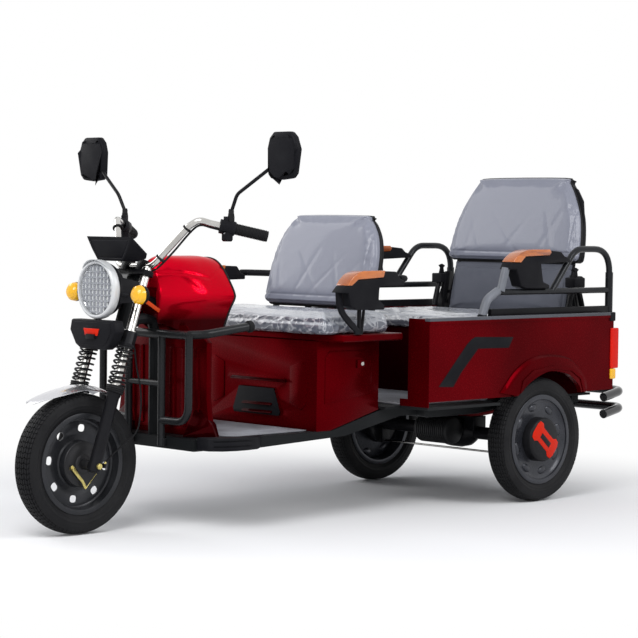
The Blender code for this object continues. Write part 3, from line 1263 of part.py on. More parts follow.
def backrest_hinge():
    """The left bracket on the bench deck that holds the backrest's pin, with its clamp knob."""
    inner = REAR_BACK_HALF + GAP
    plate = prism([(2.105, BENCH_DECK + 0.002), (2.190, BENCH_DECK + 0.002), (2.184, 0.790), (2.165, 0.832),
                   (2.130, 0.832)], "x", inner, inner + 0.006)
    base = box((inner + 0.001, inner + 0.062), (2.107, 2.188), (BENCH_DECK + GAP, BENCH_DECK + 0.006))
    web = prism([(inner + 0.004, BENCH_DECK + 0.002), (inner + 0.058, BENCH_DECK + 0.002), (inner + 0.030, 0.740),
                 (inner + 0.004, 0.800)], "y", 2.122, 2.128)
    knob = rod((inner + 0.004, 2.150, 0.812), (inner + 0.040, 2.150, 0.812), 0.015, 10)
    bracket = fused(plate, base, web, knob)
    return cut(bracket, rod((inner - 0.01, BACK_HINGE.y, BACK_HINGE.z), (inner + 0.03, BACK_HINGE.y, BACK_HINGE.z),
                            0.0065, 12))


REAR_BACK_FRONT = 2.133
REAR_BACK_FOOT = 0.889
REAR_BACK_DEPTH = 0.046


def rear_backrest():
    pad = padded_back(REAR_BACK_HALF, REAR_BACK_FOOT, REAR_BACK_FOOT + REAR_BACK_LENGTH, 0.66, REAR_BACK_FRONT,
                      REAR_BACK_DEPTH, 0.010)
    return reclined(pad, REAR_BACK_FRONT, REAR_BACK_FOOT, REAR_BACK_RECLINE)


def rear_backrest_board():
    """The board behind and below the rear cushion, with its two hinge pins."""
    front = REAR_BACK_FRONT + REAR_BACK_DEPTH + GAP
    top = REAR_BACK_FOOT + REAR_BACK_LENGTH - 0.004
    outline = back_outline(REAR_BACK_HALF - 0.002, REAR_BACK_FOOT, top, 0.66)
    middle = len(outline) // 2
    foot = REAR_BACK_FOOT - 0.180
    outline = outline[:middle] + outline[middle:] + [(-REAR_BACK_HALF + 0.004, foot), (REAR_BACK_HALF - 0.004, foot)]
    board = reclined(prism(outline, "y", front, front + 0.010), REAR_BACK_FRONT, REAR_BACK_FOOT, REAR_BACK_RECLINE)
    pieces = [board]
    for side, _ in SIDES:
        ends = sorted((side * (REAR_BACK_HALF - 0.030), side * (REAR_BACK_HALF + 0.0055)))
        pieces.append(rod((ends[0], BACK_HINGE.y, BACK_HINGE.z), (ends[1], BACK_HINGE.y, BACK_HINGE.z), 0.0060, 12))
    return fused(*pieces)


def tailgate():
    """The drop-down rear panel with a pressed frame."""
    low, high = GATE_HINGE.z, BODY_TOP - 0.012
    half = BODY_HALF - 0.012
    near = BODY_REAR + GAP
    panel = box((-half, half), (near, near + 0.014), (low, high))
    recess = box((-half + 0.030, half - 0.030), (near + 0.006, near + 0.02), (low + 0.035, high - 0.035))
    panel = cut(panel, recess)
    latches = [box((x - 0.018, x + 0.018), (near + 0.004, near + 0.020), (high - 0.030, high - 0.012))
               for x in (-half + 0.050, half - 0.050)]
    return fused(panel, *latches)


def tail_light():
    near = BODY_REAR + GAP
    strip = box((BODY_HALF - 0.0115, BODY_HALF + 0.002), (near, near + 0.018), (0.438, 0.634))
    return rounded(strip, 0.003, 1, 50)


def rear_bumper():
    """Two round bars with their ends swept forward, on plates from the frame."""
    pieces = []
    for height in (0.385, 0.320):
        half = [(0.330, BUMPER_REAR, height), (0.400, BUMPER_REAR - 0.012, height),
                (0.412, 2.225, height - 0.020)]
        route = [(-x, y, z) for x, y, z in reversed(half)] + half
        pieces.append(tube(route, BUMPER_TUBE, bend=0.05, sides=6))
    for side, _ in SIDES:
        x = side * REAR_RAIL_X
        pieces.append(box(sorted((x - 0.004, x + 0.004)), (BODY_REAR + 0.002 + GAP, BUMPER_REAR), (0.305, 0.382)))
    return fused(*pieces)


for side, word in SIDES:
    finish("cargo_side_" + word, sided(cargo_side, side), "chassis", RED, 0.25, 0.2)
    finish("handrail_" + word, sided(handrail, side), "chassis", (0.3, 0.3, 0.31), 0.3, 0.9)
    finish("rear_armrest_" + word, sided(rear_armrest, side), "chassis", BLACK, 0.45)
    finish("backrest_hinge_" + word, sided(backrest_hinge, side), "chassis", BLACK, 0.45, 0.3)
    finish("tail_light_" + word, sided(tail_light, side), "chassis", (0.8, 0.05, 0.02), 0.25)
finish("bench_box", bench_box(), "chassis", RED, 0.3, 0.2)
finish("bench_cushion", bench_cushion(), "chassis", SEAT_GREY, 0.35)
finish("rear_backrest", rear_backrest(), "rear_back", SEAT_GREY, 0.45)
finish("rear_backrest_board", rear_backrest_board(), "rear_back", BLACK, 0.6)
finish("tailgate", tailgate(), "tailgate", RED, 0.3, 0.2)
finish("rear_bumper", rear_bumper(), "chassis", (0.4, 0.4, 0.41), 0.3, 0.9)


# Rear axle
LEAF_HALF = 0.170
LEAF_EYE = 0.0115


def axle_housing():
    """The axle tube with its gear case, motor, brake plates, wheel stubs, spring pads and brake rod."""
    plate_in = REAR_WHEEL_X - 0.050
    plate_out = REAR_WHEEL_X - 0.014
    drum = BRAKE_DRUM_RADIUS + 0.006
    half = [(0.024, plate_in), (drum, plate_in), (drum, plate_out), (REAR_STUB_RADIUS, plate_out),
            (REAR_STUB_RADIUS, REAR_WHEEL_X + 0.028), (0, REAR_WHEEL_X + 0.028)]
    gear_case = [(0.024, -0.045), (0.050, -0.030), (0.060, 0.010), (0.060, 0.060), (0.048, 0.110), (0.024, 0.130)]
    profile = [(r, -h) for r, h in reversed(half)] + gear_case + half
    pieces = [turned(profile, (0, WHEELBASE, AXLE_Z), (1, 0, 0), 14),
              rod((-0.060, WHEELBASE - 0.105, AXLE_Z + 0.012), (0.110, WHEELBASE - 0.105, AXLE_Z + 0.012), 0.052, 12),
              rod((-0.346, WHEELBASE - 0.020, 0.165), (0.346, WHEELBASE - 0.020, 0.165), 0.004, 8)]
    for side, _ in SIDES:
        pieces.append(box(sorted((side * 0.338, side * 0.350)), (WHEELBASE - 0.030, WHEELBASE + 0.010), (0.157, 0.215)))
        spring = side * REAR_RAIL_X
        pieces.append(box((spring - 0.024, spring + 0.024), (WHEELBASE - 0.035, WHEELBASE + 0.035),
                          (AXLE_Z + 0.010, LEAF_SEAT - GAP)))
    return fused(*pieces)


LEAF_SEAT = AXLE_Z + 0.064


def leaf_outline(half, bottom, rise, thickness, steps=10):
    """A leaf seen from the side, bowed so that its ends stand above its middle."""
    lower, upper = [], []
    for step in range(steps + 1):
        offset = half * (2 * step / steps - 1)
        z = bottom + rise * (offset / LEAF_HALF) ** 2
        lower.append((WHEELBASE + offset, z))
        upper.append((WHEELBASE + offset, z + thickness))
    return lower + list(reversed(upper))


def leaf_spring():
    """A two-leaf spring with rolled eyes close under the left inner rail."""
    x = REAR_RAIL_X
    eye_z = REAR_FLOOR_HEIGHT - RAIL_DEPTH - LEAF_EYE - GAP
    rise = eye_z - LEAF_SEAT - 0.006
    main = prism(leaf_outline(LEAF_HALF, LEAF_SEAT + 0.006, rise, 0.007), "x", x - 0.020, x + 0.020)
    helper = prism(leaf_outline(LEAF_HALF * 0.6, LEAF_SEAT, rise, 0.0065, 6), "x", x - 0.019, x + 0.019)
    eyes = [rod((x - 0.020, WHEELBASE + end * LEAF_HALF, eye_z), (x + 0.020, WHEELBASE + end * LEAF_HALF, eye_z),
                LEAF_EYE, 12) for end in (-1, 1)]
    return fused(main, helper, *eyes)


finish("axle_housing", axle_housing(), "rear_axle", BLACK, 0.5, 0.4)
for side, word in SIDES:
    finish("leaf_spring_" + word, sided(leaf_spring, side), "chassis", RED, 0.4, 0.2)
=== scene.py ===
import math
from functools import partial

import bpy
from mathutils import Matrix, Vector, noise


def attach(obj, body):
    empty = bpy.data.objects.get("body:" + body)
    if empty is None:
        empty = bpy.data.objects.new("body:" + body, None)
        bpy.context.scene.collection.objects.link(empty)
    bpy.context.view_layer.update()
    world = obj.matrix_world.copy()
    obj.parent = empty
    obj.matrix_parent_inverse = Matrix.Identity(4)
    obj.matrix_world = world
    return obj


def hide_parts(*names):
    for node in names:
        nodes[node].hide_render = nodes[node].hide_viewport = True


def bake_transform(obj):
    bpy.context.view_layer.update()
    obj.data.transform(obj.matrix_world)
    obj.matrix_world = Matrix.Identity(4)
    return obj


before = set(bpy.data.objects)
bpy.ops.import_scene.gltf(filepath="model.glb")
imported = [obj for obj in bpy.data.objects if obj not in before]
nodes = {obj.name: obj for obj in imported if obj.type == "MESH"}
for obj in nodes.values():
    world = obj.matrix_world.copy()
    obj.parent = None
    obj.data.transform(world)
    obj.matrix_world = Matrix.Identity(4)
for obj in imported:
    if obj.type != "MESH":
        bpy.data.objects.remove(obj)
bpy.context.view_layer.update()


# Studio: a pale floor that fades into a white room, two large round soft boxes and one weaker fill.
# The camera stands to the front left, a little above the lamp, with a long lens.
front_axle = 1.065


def at(x, back, z):
    """A point given by its distance back from the front axle."""
    return Vector((x, back - front_axle, z))


def only(obj):
    """Leaves one object selected and active, outside edit mode."""
    if bpy.context.object and bpy.context.object.mode == "EDIT":
        bpy.ops.object.mode_set(mode="OBJECT")
    bpy.ops.object.select_all(action="DESELECT")
    obj.select_set(True)
    bpy.context.view_layer.objects.active = obj


def joined_up(tree, *pairs):
    """Links each output to its input."""
    for source, target in pairs:
        tree.links.new(source, target)


def set_inputs(node, **inputs):
    """Sets a node's inputs. An underscore in a name stands for a space."""
    for name, value in inputs.items():
        node.inputs[name.replace("_", " ")].default_value = value
    return node


def node_of(tree, kind, operation=None, **inputs):
    """A new shader node with its operation and its inputs set."""
    node = tree.nodes.new("ShaderNode" + kind)
    if operation:
        node.operation = operation
    return set_inputs(node, **inputs)


bpy.ops.object.select_all(action="DESELECT")
turn, tilt, roll = math.radians(45.43), math.radians(2.57), math.radians(0.71)
back = Vector((math.sin(turn) * math.cos(tilt), -math.cos(turn) * math.cos(tilt), math.sin(tilt)))
right = (-back).cross(Vector((0, 0, 1))).normalized()
up = right.cross(-back)
axes = Matrix((right * math.cos(roll) + up * math.sin(roll), up * math.cos(roll) - right * math.sin(roll), back))
bpy.ops.object.camera_add(location=at(5.452, -4.265, 1.022), rotation=axes.transposed().to_euler())
camera = bpy.context.object
camera.data.lens = 119.76
camera.data.shift_x, camera.data.shift_y = -0.00235, -0.0017
camera.data.clip_end = 60
bpy.context.scene.camera = camera
bpy.context.scene.view_settings.view_transform = "Standard"

for spot, size, power in (((1.6, -3.4, 3.6), 2.6, 125), ((4.2, 1.2, 3.4), 2.4, 90), ((-3.6, -1.6, 2.6), 2.2, 45)):
    bpy.ops.object.light_add(type="AREA", location=spot)
    lamp = bpy.context.object
    lamp.rotation_euler = (Vector((0, 0, 0.5)) - Vector(spot)).to_track_quat("-Z", "Y").to_euler()
    lamp.data.shape = "DISK"
    lamp.data.size = size
    lamp.data.energy = power

world = bpy.data.worlds.new("White room")
bpy.context.scene.world = world
world.use_nodes = True
room = world.node_tree
sky = set_inputs(room.nodes["Background"], Color=(0.86, 0.88, 0.92, 1), Strength=0.55)
backdrop = node_of(room, "Background", Color=(1, 1, 1, 1), Strength=1.0)
seen = node_of(room, "LightPath")
seen_or_mirrored, or_through = node_of(room, "Math", "MAXIMUM"), node_of(room, "Math", "MAXIMUM")
pick = node_of(room, "MixShader")
joined_up(room, (seen.outputs["Is Camera Ray"], seen_or_mirrored.inputs[0]),
          (seen.outputs["Is Glossy Ray"], seen_or_mirrored.inputs[1]),
          (seen_or_mirrored.outputs[0], or_through.inputs[0]),
          (seen.outputs["Is Transmission Ray"], or_through.inputs[1]),
          (or_through.outputs[0], pick.inputs[0]), (sky.outputs[0], pick.inputs[1]),
          (backdrop.outputs[0], pick.inputs[2]), (pick.outputs[0], room.nodes["World Output"].inputs["Surface"]))

bpy.ops.mesh.primitive_circle_add(vertices=96, radius=9, fill_type="NGON", location=(0, 0, -0.0008))
ground = bpy.context.object
ground.name = "studio_floor"
bpy.ops.object.transform_apply(location=True)
paper = bpy.data.materials.new("Pale studio paper")
paper.use_nodes = True
tree = paper.node_tree
matt = set_inputs(tree.nodes["Principled BSDF"], Base_Color=(0.9, 0.9, 0.91, 1), Roughness=0.9,
                  Specular_IOR_Level=0.1)
place, path = node_of(tree, "TexCoord"), node_of(tree, "LightPath")
reach = node_of(tree, "VectorMath", "LENGTH")
fade = node_of(tree, "MapRange", From_Min=0.9, From_Max=2.4)
fade.interpolation_type = "SMOOTHSTEP"
white = node_of(tree, "Emission", Strength=1.0)
any_view, share = node_of(tree, "Math", "MAXIMUM"), node_of(tree, "Math", "MULTIPLY")
blend = node_of(tree, "MixShader")
joined_up(tree, (place.outputs["Object"], reach.inputs[0]), (reach.outputs["Value"], fade.inputs["Value"]),
          (path.outputs["Is Camera Ray"], any_view.inputs[0]), (path.outputs["Is Glossy Ray"], any_view.inputs[1]),
          (fade.outputs["Result"], share.inputs[0]), (any_view.outputs[0], share.inputs[1]),
          (share.outputs[0], blend.inputs[0]), (matt.outputs[0], blend.inputs[1]), (white.outputs[0], blend.inputs[2]),
          (blend.outputs[0], tree.nodes["Material Output"].inputs["Surface"]))
ground.data.materials.append(paper)


# Tyres: black road tyres with rows of small square tread blocks, two mould lines on each wall.
# Rubber, moulded in one piece and seated on the rims.
def group_of(title, inputs, outputs):
    """A new node group with its number sockets, its input node and its output node."""
    group = bpy.data.node_groups.new(title, "ShaderNodeTree")
    for name, start in inputs:
        group.interface.new_socket(name, in_out="INPUT", socket_type="NodeSocketFloat").default_value = start
    for name in outputs:
        group.interface.new_socket(name, in_out="OUTPUT", socket_type="NodeSocketFloat")
    return group, group.nodes.new("NodeGroupInput"), group.nodes.new("NodeGroupOutput")


def surface_group():
    """Broad patches and a fine grain, both read from where the point lies on the object."""
    group, into, out = group_of("Surface variation", (("Patch scale", 4.0), ("Grain scale", 300.0)),
                                ("Patches", "Grain"))
    spot = node_of(group, "TexCoord")
    for name, scale, detail in (("Patches", "Patch scale", 3.0), ("Grain", "Grain scale", 2.0)):
        clouds = node_of(group, "TexNoise", Detail=detail)
        joined_up(group, (spot.outputs["Object"], clouds.inputs["Vector"]),
                  (into.outputs[scale], clouds.inputs["Scale"]), (clouds.outputs["Fac"], out.inputs[name]))
    return group


surface = surface_group()


def mixed(tree, mask, first, second):
    """Two colours mixed by a mask, returned as a colour output."""
    mix = node_of(tree, "Mix")
    mix.data_type = "RGBA"
    tree.links.new(mask, mix.inputs[0])
    for socket, colour in ((mix.inputs[6], first), (mix.inputs[7], second)):
        if isinstance(colour, tuple):
            socket.default_value = (*colour, 1)
        else:
            tree.links.new(colour, socket)
    return mix.outputs[2]


def ranged(tree, value, low, high, start=0.35, end=0.65):
    """A value between start and end spread over low to high."""
    node = node_of(tree, "MapRange", From_Min=start, From_Max=end, To_Min=low, To_Max=high)
    tree.links.new(value, node.inputs["Value"])
    return node.outputs["Result"]


def finish_of(name, light, dark, gloss, metallic=0.0, coat=0.0, patch=4.0, grain=300.0, relief=0.08, deep=0.0004,
              shine=0.4):
    """A finish whose tone drifts in patches, and whose roughness and relief follow a fine grain."""
    material = bpy.data.materials.new(name)
    material.use_nodes = True
    tree = material.node_tree
    shader = set_inputs(tree.nodes["Principled BSDF"], Metallic=metallic, Coat_Weight=coat, Coat_Roughness=0.03,
                        Specular_IOR_Level=shine)
    look = node_of(tree, "Group")
    look.node_tree = surface
    set_inputs(look, Patch_scale=patch, Grain_scale=grain)
    bump = node_of(tree, "Bump", Strength=relief, Distance=deep)
    bump.name = "bump"
    tone = mixed(tree, ranged(tree, look.outputs["Patches"], 0, 1), light, dark)
    joined_up(tree, (tone, shader.inputs["Base Color"]),
              (ranged(tree, look.outputs["Grain"], *gloss), shader.inputs["Roughness"]),
              (look.outputs["Grain"], bump.inputs["Height"]), (bump.outputs["Normal"], shader.inputs["Normal"]))
    return material


def changed(obj, kind, **settings):
    """Adds a modifier, sets it and applies it."""
    only(obj)
    modifier = obj.modifiers.new(kind.title(), kind)
    for key, value in settings.items():
        setattr(modifier, key, value)
    bpy.ops.object.modifier_apply(modifier=modifier.name)
    return obj


def eased(obj, width, segments=2, angle=40, **settings):
    """Rounds the edges where the surface turns by more than an angle."""
    return changed(obj, "BEVEL", width=width, segments=segments, limit_method="ANGLE",
                   angle_limit=math.radians(angle), **settings)


def edited(obj, *steps):
    """Runs mesh operators, each on the whole mesh, then turns its faces outward."""
    only(obj)
    bpy.ops.object.mode_set(mode="EDIT")
    for step in (*steps, partial(bpy.ops.mesh.normals_make_consistent, inside=False)):
        bpy.ops.mesh.select_all(action="SELECT")
        step()
    bpy.ops.object.mode_set(mode="OBJECT")
    return obj


def merged(within):
    """The operator that joins points closer than a gap."""
    return partial(bpy.ops.mesh.remove_doubles, threshold=within)


def frame_at(centre, direction):
    """The matrix that lays local Z along a direction at a point."""
    lay = Vector((0, 0, 1)).rotation_difference(Vector(direction).normalized())
    return Matrix.Translation(centre) @ lay.to_matrix().to_4x4()


def new_mesh(name, points, edges=(), faces=()):
    """A new object from points, edges and faces, left selected."""
    mesh = bpy.data.meshes.new(name)
    mesh.from_pydata([tuple(point) for point in points], list(edges), list(faces))
    obj = bpy.data.objects.new(name, mesh)
    bpy.context.collection.objects.link(obj)
    only(obj)
    return obj


def spun(profile, centre, axis, steps=48, ring=False):
    """A (radius, height) profile spun about an axis. A ring's profile is a closed loop."""
    count = len(profile)
    edges = [(i, i + 1) for i in range(count - 1)] + ([(count - 1, 0)] if ring else [])
    obj = new_mesh("spun", [(radius, 0, height) for radius, height in profile], edges)
    edited(obj, partial(bpy.ops.mesh.spin, steps=steps, angle=2 * math.pi, center=(0, 0, 0), axis=(0, 0, 1)),
           merged(0.00002))
    obj.matrix_world = frame_at(centre, axis)
    return obj


def settled(obj, name, material, body, *stands_for, angle=35):
    """Names a piece, fixes its place in its mesh, gives it its finish and its body."""
    only(obj)
    obj.name = name
    obj.data.name = name
    bpy.ops.object.transform_apply(location=True, rotation=True, scale=True)
    if material:
        obj.data.materials.clear()
        obj.data.materials.append(material)
    bpy.ops.object.shade_smooth_by_angle(angle=math.radians(angle))
    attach(obj, body)
    if stands_for:
        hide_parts(*stands_for)
    return obj


def faces_where(obj, test):
    """Selects the faces whose middle and normal pass a test, and enters edit mode on faces."""
    only(obj)
    bpy.context.tool_settings.mesh_select_mode = (False, False, True)
    bpy.ops.object.mode_set(mode="EDIT")
    bpy.ops.mesh.select_all(action="DESELECT")
    bpy.ops.object.mode_set(mode="OBJECT")
    for face in obj.data.polygons:
        face.select = test(face.center, face.normal)
    bpy.ops.object.mode_set(mode="EDIT")


tyre_rubber = finish_of("Tyre rubber", (0.013, 0.013, 0.014), (0.007, 0.007, 0.008), (0.5, 0.75), patch=9, grain=500,
                        relief=0.25, deep=0.0005, shine=0.15)
wheel_radius, tread_depth, tread_rows = 0.23, 0.0045, 84


def road_tyre(centre):
    """A tyre spun from half its section, its tread faces inset and swelled into skewed blocks."""
    groove = wheel_radius - tread_depth
    half = [(0.1532, 0.0298), (0.16, 0.03), (0.168, 0.0303), (0.176, 0.0352), (0.179, 0.0378), (0.18, 0.0385),
            (0.1815, 0.0383), (0.189, 0.0402), (0.1905, 0.0409), (0.192, 0.0403), (0.201, 0.0404), (0.21, 0.0392),
            (groove - 0.0098, 0.0372), (groove - 0.0052, 0.03), (groove - 0.002, 0.0205), (groove - 0.0005, 0.0105),
            (groove, 0.0)]
    profile = half + [(radius, -height) for radius, height in reversed(half[:-1])]
    profile += [(0.1532, -0.02), (0.1532, 0.02)]
    obj = spun(profile, (0, 0, 0), (0, 0, 1), tread_rows, ring=True)
    shoulder, row_wide, stagger = 0.2135, 0.01, 0.45
    for vertex in obj.data.vertices:
        if vertex.co.xy.length > shoulder:
            skew = stagger * math.pi / tread_rows * (1 if round(vertex.co.z / row_wide) % 2 else -1)
            vertex.co = Matrix.Rotation(skew, 3, "Z") @ vertex.co
    faces_where(obj, lambda centre, normal: centre.xy.length > 0.212)
    bpy.ops.mesh.inset(thickness=0.0013, use_individual=True)
    bpy.ops.mesh.extrude_region_move()
    swell = wheel_radius / groove
    bpy.ops.transform.resize(value=(swell, swell, 1.0), center_override=(0, 0, 0))
    bpy.ops.object.mode_set(mode="OBJECT")
    obj.matrix_world = frame_at(centre, (1, 0, 0))
    return obj


half_track, rear_axle = 0.412, 1.822
front_hub = at(0, 0, wheel_radius)
wheels = (("front", "front_wheel", front_hub),
          ("rear", "rear_wheel_left", at(half_track, rear_axle, wheel_radius)),
          ("rear", "rear_wheel_right", at(-half_track, rear_axle, wheel_radius)))
for kind, body, hub in wheels:
    side = body.replace("rear_wheel", "").replace("front_wheel", "")
    settled(road_tyre(hub), kind + "_road_tyre" + side, tyre_rubber, body, kind + "_tyre" + side, angle=28)


# Rims: pressed steel wheels with rolled flanges, in dark grey enamel. The front one has eight oval
# windows round an open brake drum; the rear ones have pressed bosses and a bolted hub cap.
rim_enamel = finish_of("Dark rim enamel", (0.034, 0.035, 0.039), (0.02, 0.021, 0.024), (0.26, 0.38), metallic=0.35,
                       coat=0.08, patch=12, grain=420, shine=0.2)
cap_black = finish_of("Hub cap plastic", (0.012, 0.012, 0.014), (0.007, 0.007, 0.008), (0.38, 0.52), grain=700,
                      shine=0.15)
badge_red = finish_of("Hub plate red", (0.66, 0.02, 0.004), (0.54, 0.014, 0.003), (0.28, 0.4), grain=500, shine=0.1)
flange = [(0.1492, -0.0335), (0.1646, -0.0335), (0.1662, -0.0325), (0.1655, -0.0309), (0.1548, -0.0301),
          (0.1528, -0.0286), (0.1528, 0.0286), (0.1548, 0.0301), (0.1655, 0.0309), (0.1662, 0.0325),
          (0.1646, 0.0335), (0.1492, 0.0335), (0.1484, 0.0318)]


def windows(radius, count, start, across, along, middle):
    """Round bars, squashed to ovals, that cut the windows of a disc spun about Z."""
    cutters, roundness = [], 0.72
    for index in range(count):
        angle = start + index * 2 * math.pi / count
        spot = (radius * math.cos(angle), radius * math.sin(angle), middle)
        bpy.ops.mesh.primitive_cylinder_add(vertices=24, radius=1, depth=0.03, location=spot, rotation=(0, 0, angle))
        for vertex in bpy.context.object.data.vertices:
            for axis in (0, 1):
                vertex.co[axis] = math.copysign(abs(vertex.co[axis]) ** roundness, vertex.co[axis])
        bpy.context.object.scale = (along, across, 1)
        cutters.append(bpy.context.object)
    for cutter in cutters:
        cutter.select_set(True)
    bpy.context.view_layer.objects.active = cutters[0]
    bpy.ops.object.join()
    return bpy.context.object


def pierced(obj, cutter):
    """Cuts one object out of another and removes the cutter."""
    changed(obj, "BOOLEAN", operation="DIFFERENCE", solver="EXACT", object=cutter)
    bpy.data.objects.remove(cutter)
    return obj


front_disc = flange + [
    (0.1484, 0.0245), (0.146, 0.0205), (0.144, 0.006), (0.139, 0.0022), (0.131, 0.0046), (0.102, 0.0046),
    (0.093, -0.001), (0.078, -0.001), (0.0735, 0.003), (0.0728, 0.0262), (0.067, 0.0262), (0.067, 0.002),
    (0.026, 0.002), (0.026, 0.018), (0.008, 0.018), (0.008, -0.04), (0.02, -0.04), (0.026, -0.034),
    (0.03, -0.01), (0.06, -0.0062), (0.093, -0.0062), (0.102, -0.0008), (0.131, -0.0008), (0.139, -0.0032),
    (0.145, -0.012), (0.1484, -0.02), (0.1484, -0.0318)]
rim = spun(front_disc, (0, 0, 0), (0, 0, 1), 80, ring=True)
rim = pierced(rim, windows(0.116, 8, math.radians(-8), 0.014, 0.012, 0.002))
eased(rim, 0.0006, angle=50)
rim.matrix_world = frame_at(front_hub, (1, 0, 0))
settled(rim, "front_pressed_rim", rim_enamel, "front_wheel", "front_rim")

rear_disc = flange + [
    (0.1484, 0.027), (0.145, 0.0232), (0.137, 0.018), (0.129, 0.015), (0.104, 0.015), (0.093, 0.0112),
    (0.086, 0.0112), (0.0123, 0.0112), (0.0123, -0.01), (0.03, -0.01), (0.03, 0.0062), (0.093, 0.0062),
    (0.104, 0.01), (0.129, 0.01), (0.137, 0.013), (0.145, 0.016), (0.1484, 0.02), (0.1484, -0.0318)]
cap_profile = [(0, 0.0532), (0.07, 0.0528), (0.0765, 0.0508), (0.08, 0.047), (0.0812, 0.044), (0.0818, 0.0135),
               (0.0785, 0.0135), (0.0775, 0.0425), (0.07, 0.048), (0, 0.0485)]
plate_half = [(0.073, 0.02), (0.066, 0.037), (0.048, 0.04), (0.034, 0.029), (-0.034, 0.029), (-0.048, 0.04),
              (-0.066, 0.037), (-0.073, 0.02)]
rear_enamel = finish_of("Grey rim enamel", (0.046, 0.048, 0.057), (0.03, 0.032, 0.039), (0.24, 0.36), metallic=0.4,
                        coat=0.08, patch=12, grain=420, shine=0.3)


def slab(outline, thick, base=0.0):
    """A flat outline in X and Y given its thickness by extrusion, ready to be turned into place."""
    obj = new_mesh("slab", [(x, y, base) for x, y in outline], faces=[tuple(range(len(outline)))])
    return edited(obj, partial(bpy.ops.mesh.extrude_region_move, TRANSFORM_OT_translate={"value": (0, 0, thick)}))


for kind, body, hub in wheels[1:]:
    side = body.replace("rear_wheel", "")
    outward = (1, 0, 0) if side == "_left" else (-1, 0, 0)
    rim = spun(rear_disc, (0, 0, 0), (0, 0, 1), 80, ring=True)
    bosses = []
    for index in range(8):
        angle = math.radians(14) + index * math.pi / 4
        spot = (0.121 * math.cos(angle), 0.121 * math.sin(angle), 0.0125)
        bpy.ops.mesh.primitive_uv_sphere_add(segments=20, ring_count=12, radius=1, location=spot,
                                             rotation=(0, 0, angle))
        bpy.context.object.scale = (0.015, 0.025, 0.0105)
        bosses.append(bpy.context.object)
    rim = pierced(rim, windows(0.104, 2, math.radians(110), 0.007, 0.007, 0.01))
    eased(rim, 0.0006, angle=50)
    for boss in bosses:
        boss.select_set(True)
    bpy.ops.object.join()
    rim.matrix_world = frame_at(hub, outward)
    settled(rim, "rear_pressed_rim" + side, rear_enamel, body, "rear_rim" + side)
    cap = spun(cap_profile, hub, outward, 56)
    settled(cap, "hub_cap" + side, cap_black, body)
    plate = slab(plate_half + [(x, -y) for x, y in reversed(plate_half)], 0.0022, 0.0524)
    eased(plate, 0.0014, 3, 30)
    turned = frame_at(hub, outward) @ Matrix.Rotation(math.radians(49.5), 4, "Z")
    plate.matrix_world = turned
    settled(plate, "hub_plate" + side, badge_red, body)
    bar = slab([(-0.03, -0.011), (0.034, -0.011), (0.034, 0.009), (-0.03, 0.009)], 0.0016, 0.0542)
    eased(bar, 0.0008, angle=30)
    bar.matrix_world = turned
    settled(bar, "hub_bar" + side, cap_black, body)


# Fork: two black sliding legs on chromed tubes with open coil springs, clamped by two yokes.
# Turned alloy and steel; the legs carry the mudguard, the brake plate and its cam lever.
rake, leg_x = math.radians(18.5), 0.094
lean = Matrix.Translation(front_hub) @ Matrix.Rotation(-rake, 4, "X")
sides = ((1, "left"), (-1, "right"))
black_enamel = finish_of("Black enamel", (0.012, 0.012, 0.014), (0.007, 0.007, 0.008), (0.26, 0.4), metallic=0.1,
                         coat=0.04, patch=6, grain=380, shine=0.07)
chrome = finish_of("Polished chrome", (0.6, 0.59, 0.57), (0.46, 0.45, 0.43), (0.14, 0.26), metallic=1.0, patch=7,
                   grain=200, relief=0.02)
spring_black = finish_of("Spring lacquer", (0.012, 0.012, 0.014), (0.007, 0.007, 0.008), (0.28, 0.42), metallic=0.2,
                         shine=0.15)
zinc_gold = finish_of("Yellow zinc plate", (0.66, 0.56, 0.2), (0.48, 0.4, 0.14), (0.25, 0.42), metallic=0.9,
                      patch=40, grain=300)
soft_rubber = finish_of("Moulded rubber", (0.013, 0.013, 0.014), (0.008, 0.008, 0.009), (0.55, 0.74), grain=650,
                        relief=0.15, shine=0.15)


def cad_copy(node, edge=0.0, steps=2, angle=30):
    """A copy of a CAD node with its loose triangles merged, its flat faces whole and its edges rounded."""
    source = nodes[node]
    obj = bpy.data.objects.new(node + "_made", source.data.copy())
    bpy.context.collection.objects.link(obj)
    only(obj)
    bpy.ops.object.mode_set(mode="EDIT")
    bpy.ops.mesh.select_all(action="SELECT")
    bpy.ops.mesh.customdata_custom_splitnormals_clear()
    bpy.ops.mesh.remove_doubles(threshold=0.00002)
    bpy.ops.mesh.dissolve_limited(angle_limit=math.radians(0.6))
    bpy.ops.object.mode_set(mode="OBJECT")
    if edge:
        eased(obj, edge, steps, angle, use_clamp_overlap=True)
    return obj


leg = [(0, -0.022), (0.0165, -0.022), (0.0205, -0.0185), (0.0208, 0.23), (0.0232, 0.236), (0.0236, 0.244),
       (0.0165, 0.244), (0.0165, 0.05), (0, 0.05)]
boot = [(0.0165, 0.2442), (0.028, 0.245), (0.0306, 0.2475), (0.028, 0.25), (0.0306, 0.253), (0.028, 0.256),
        (0.0306, 0.259), (0.029, 0.2625), (0.0312, 0.265), (0.0306, 0.2676), (0.0165, 0.2676)]
wire, coil_radius, coils, ring_points, bunching = 0.0034, 0.0272, 8, 22, 0.045
coil_foot, coil_top = 0.2715, 0.3965


def wound(points, radius, facets):
    """A round wire along points, made a mesh from a bevelled path."""
    bpy.ops.curve.primitive_nurbs_path_add()
    path = bpy.context.object
    path.data.splines.clear()
    run = path.data.splines.new("POLY")
    run.points.add(len(points) - 1)
    for point, spot in zip(run.points, points):
        point.co = (*spot, 1)
    path.data.dimensions = "3D"
    path.data.twist_mode = "MINIMUM"
    path.data.bevel_depth = radius
    path.data.bevel_resolution = (facets - 4) // 2
    path.data.use_fill_caps = True
    bpy.ops.object.convert(target="MESH")
    return edited(bpy.context.object, merged(0.00001))


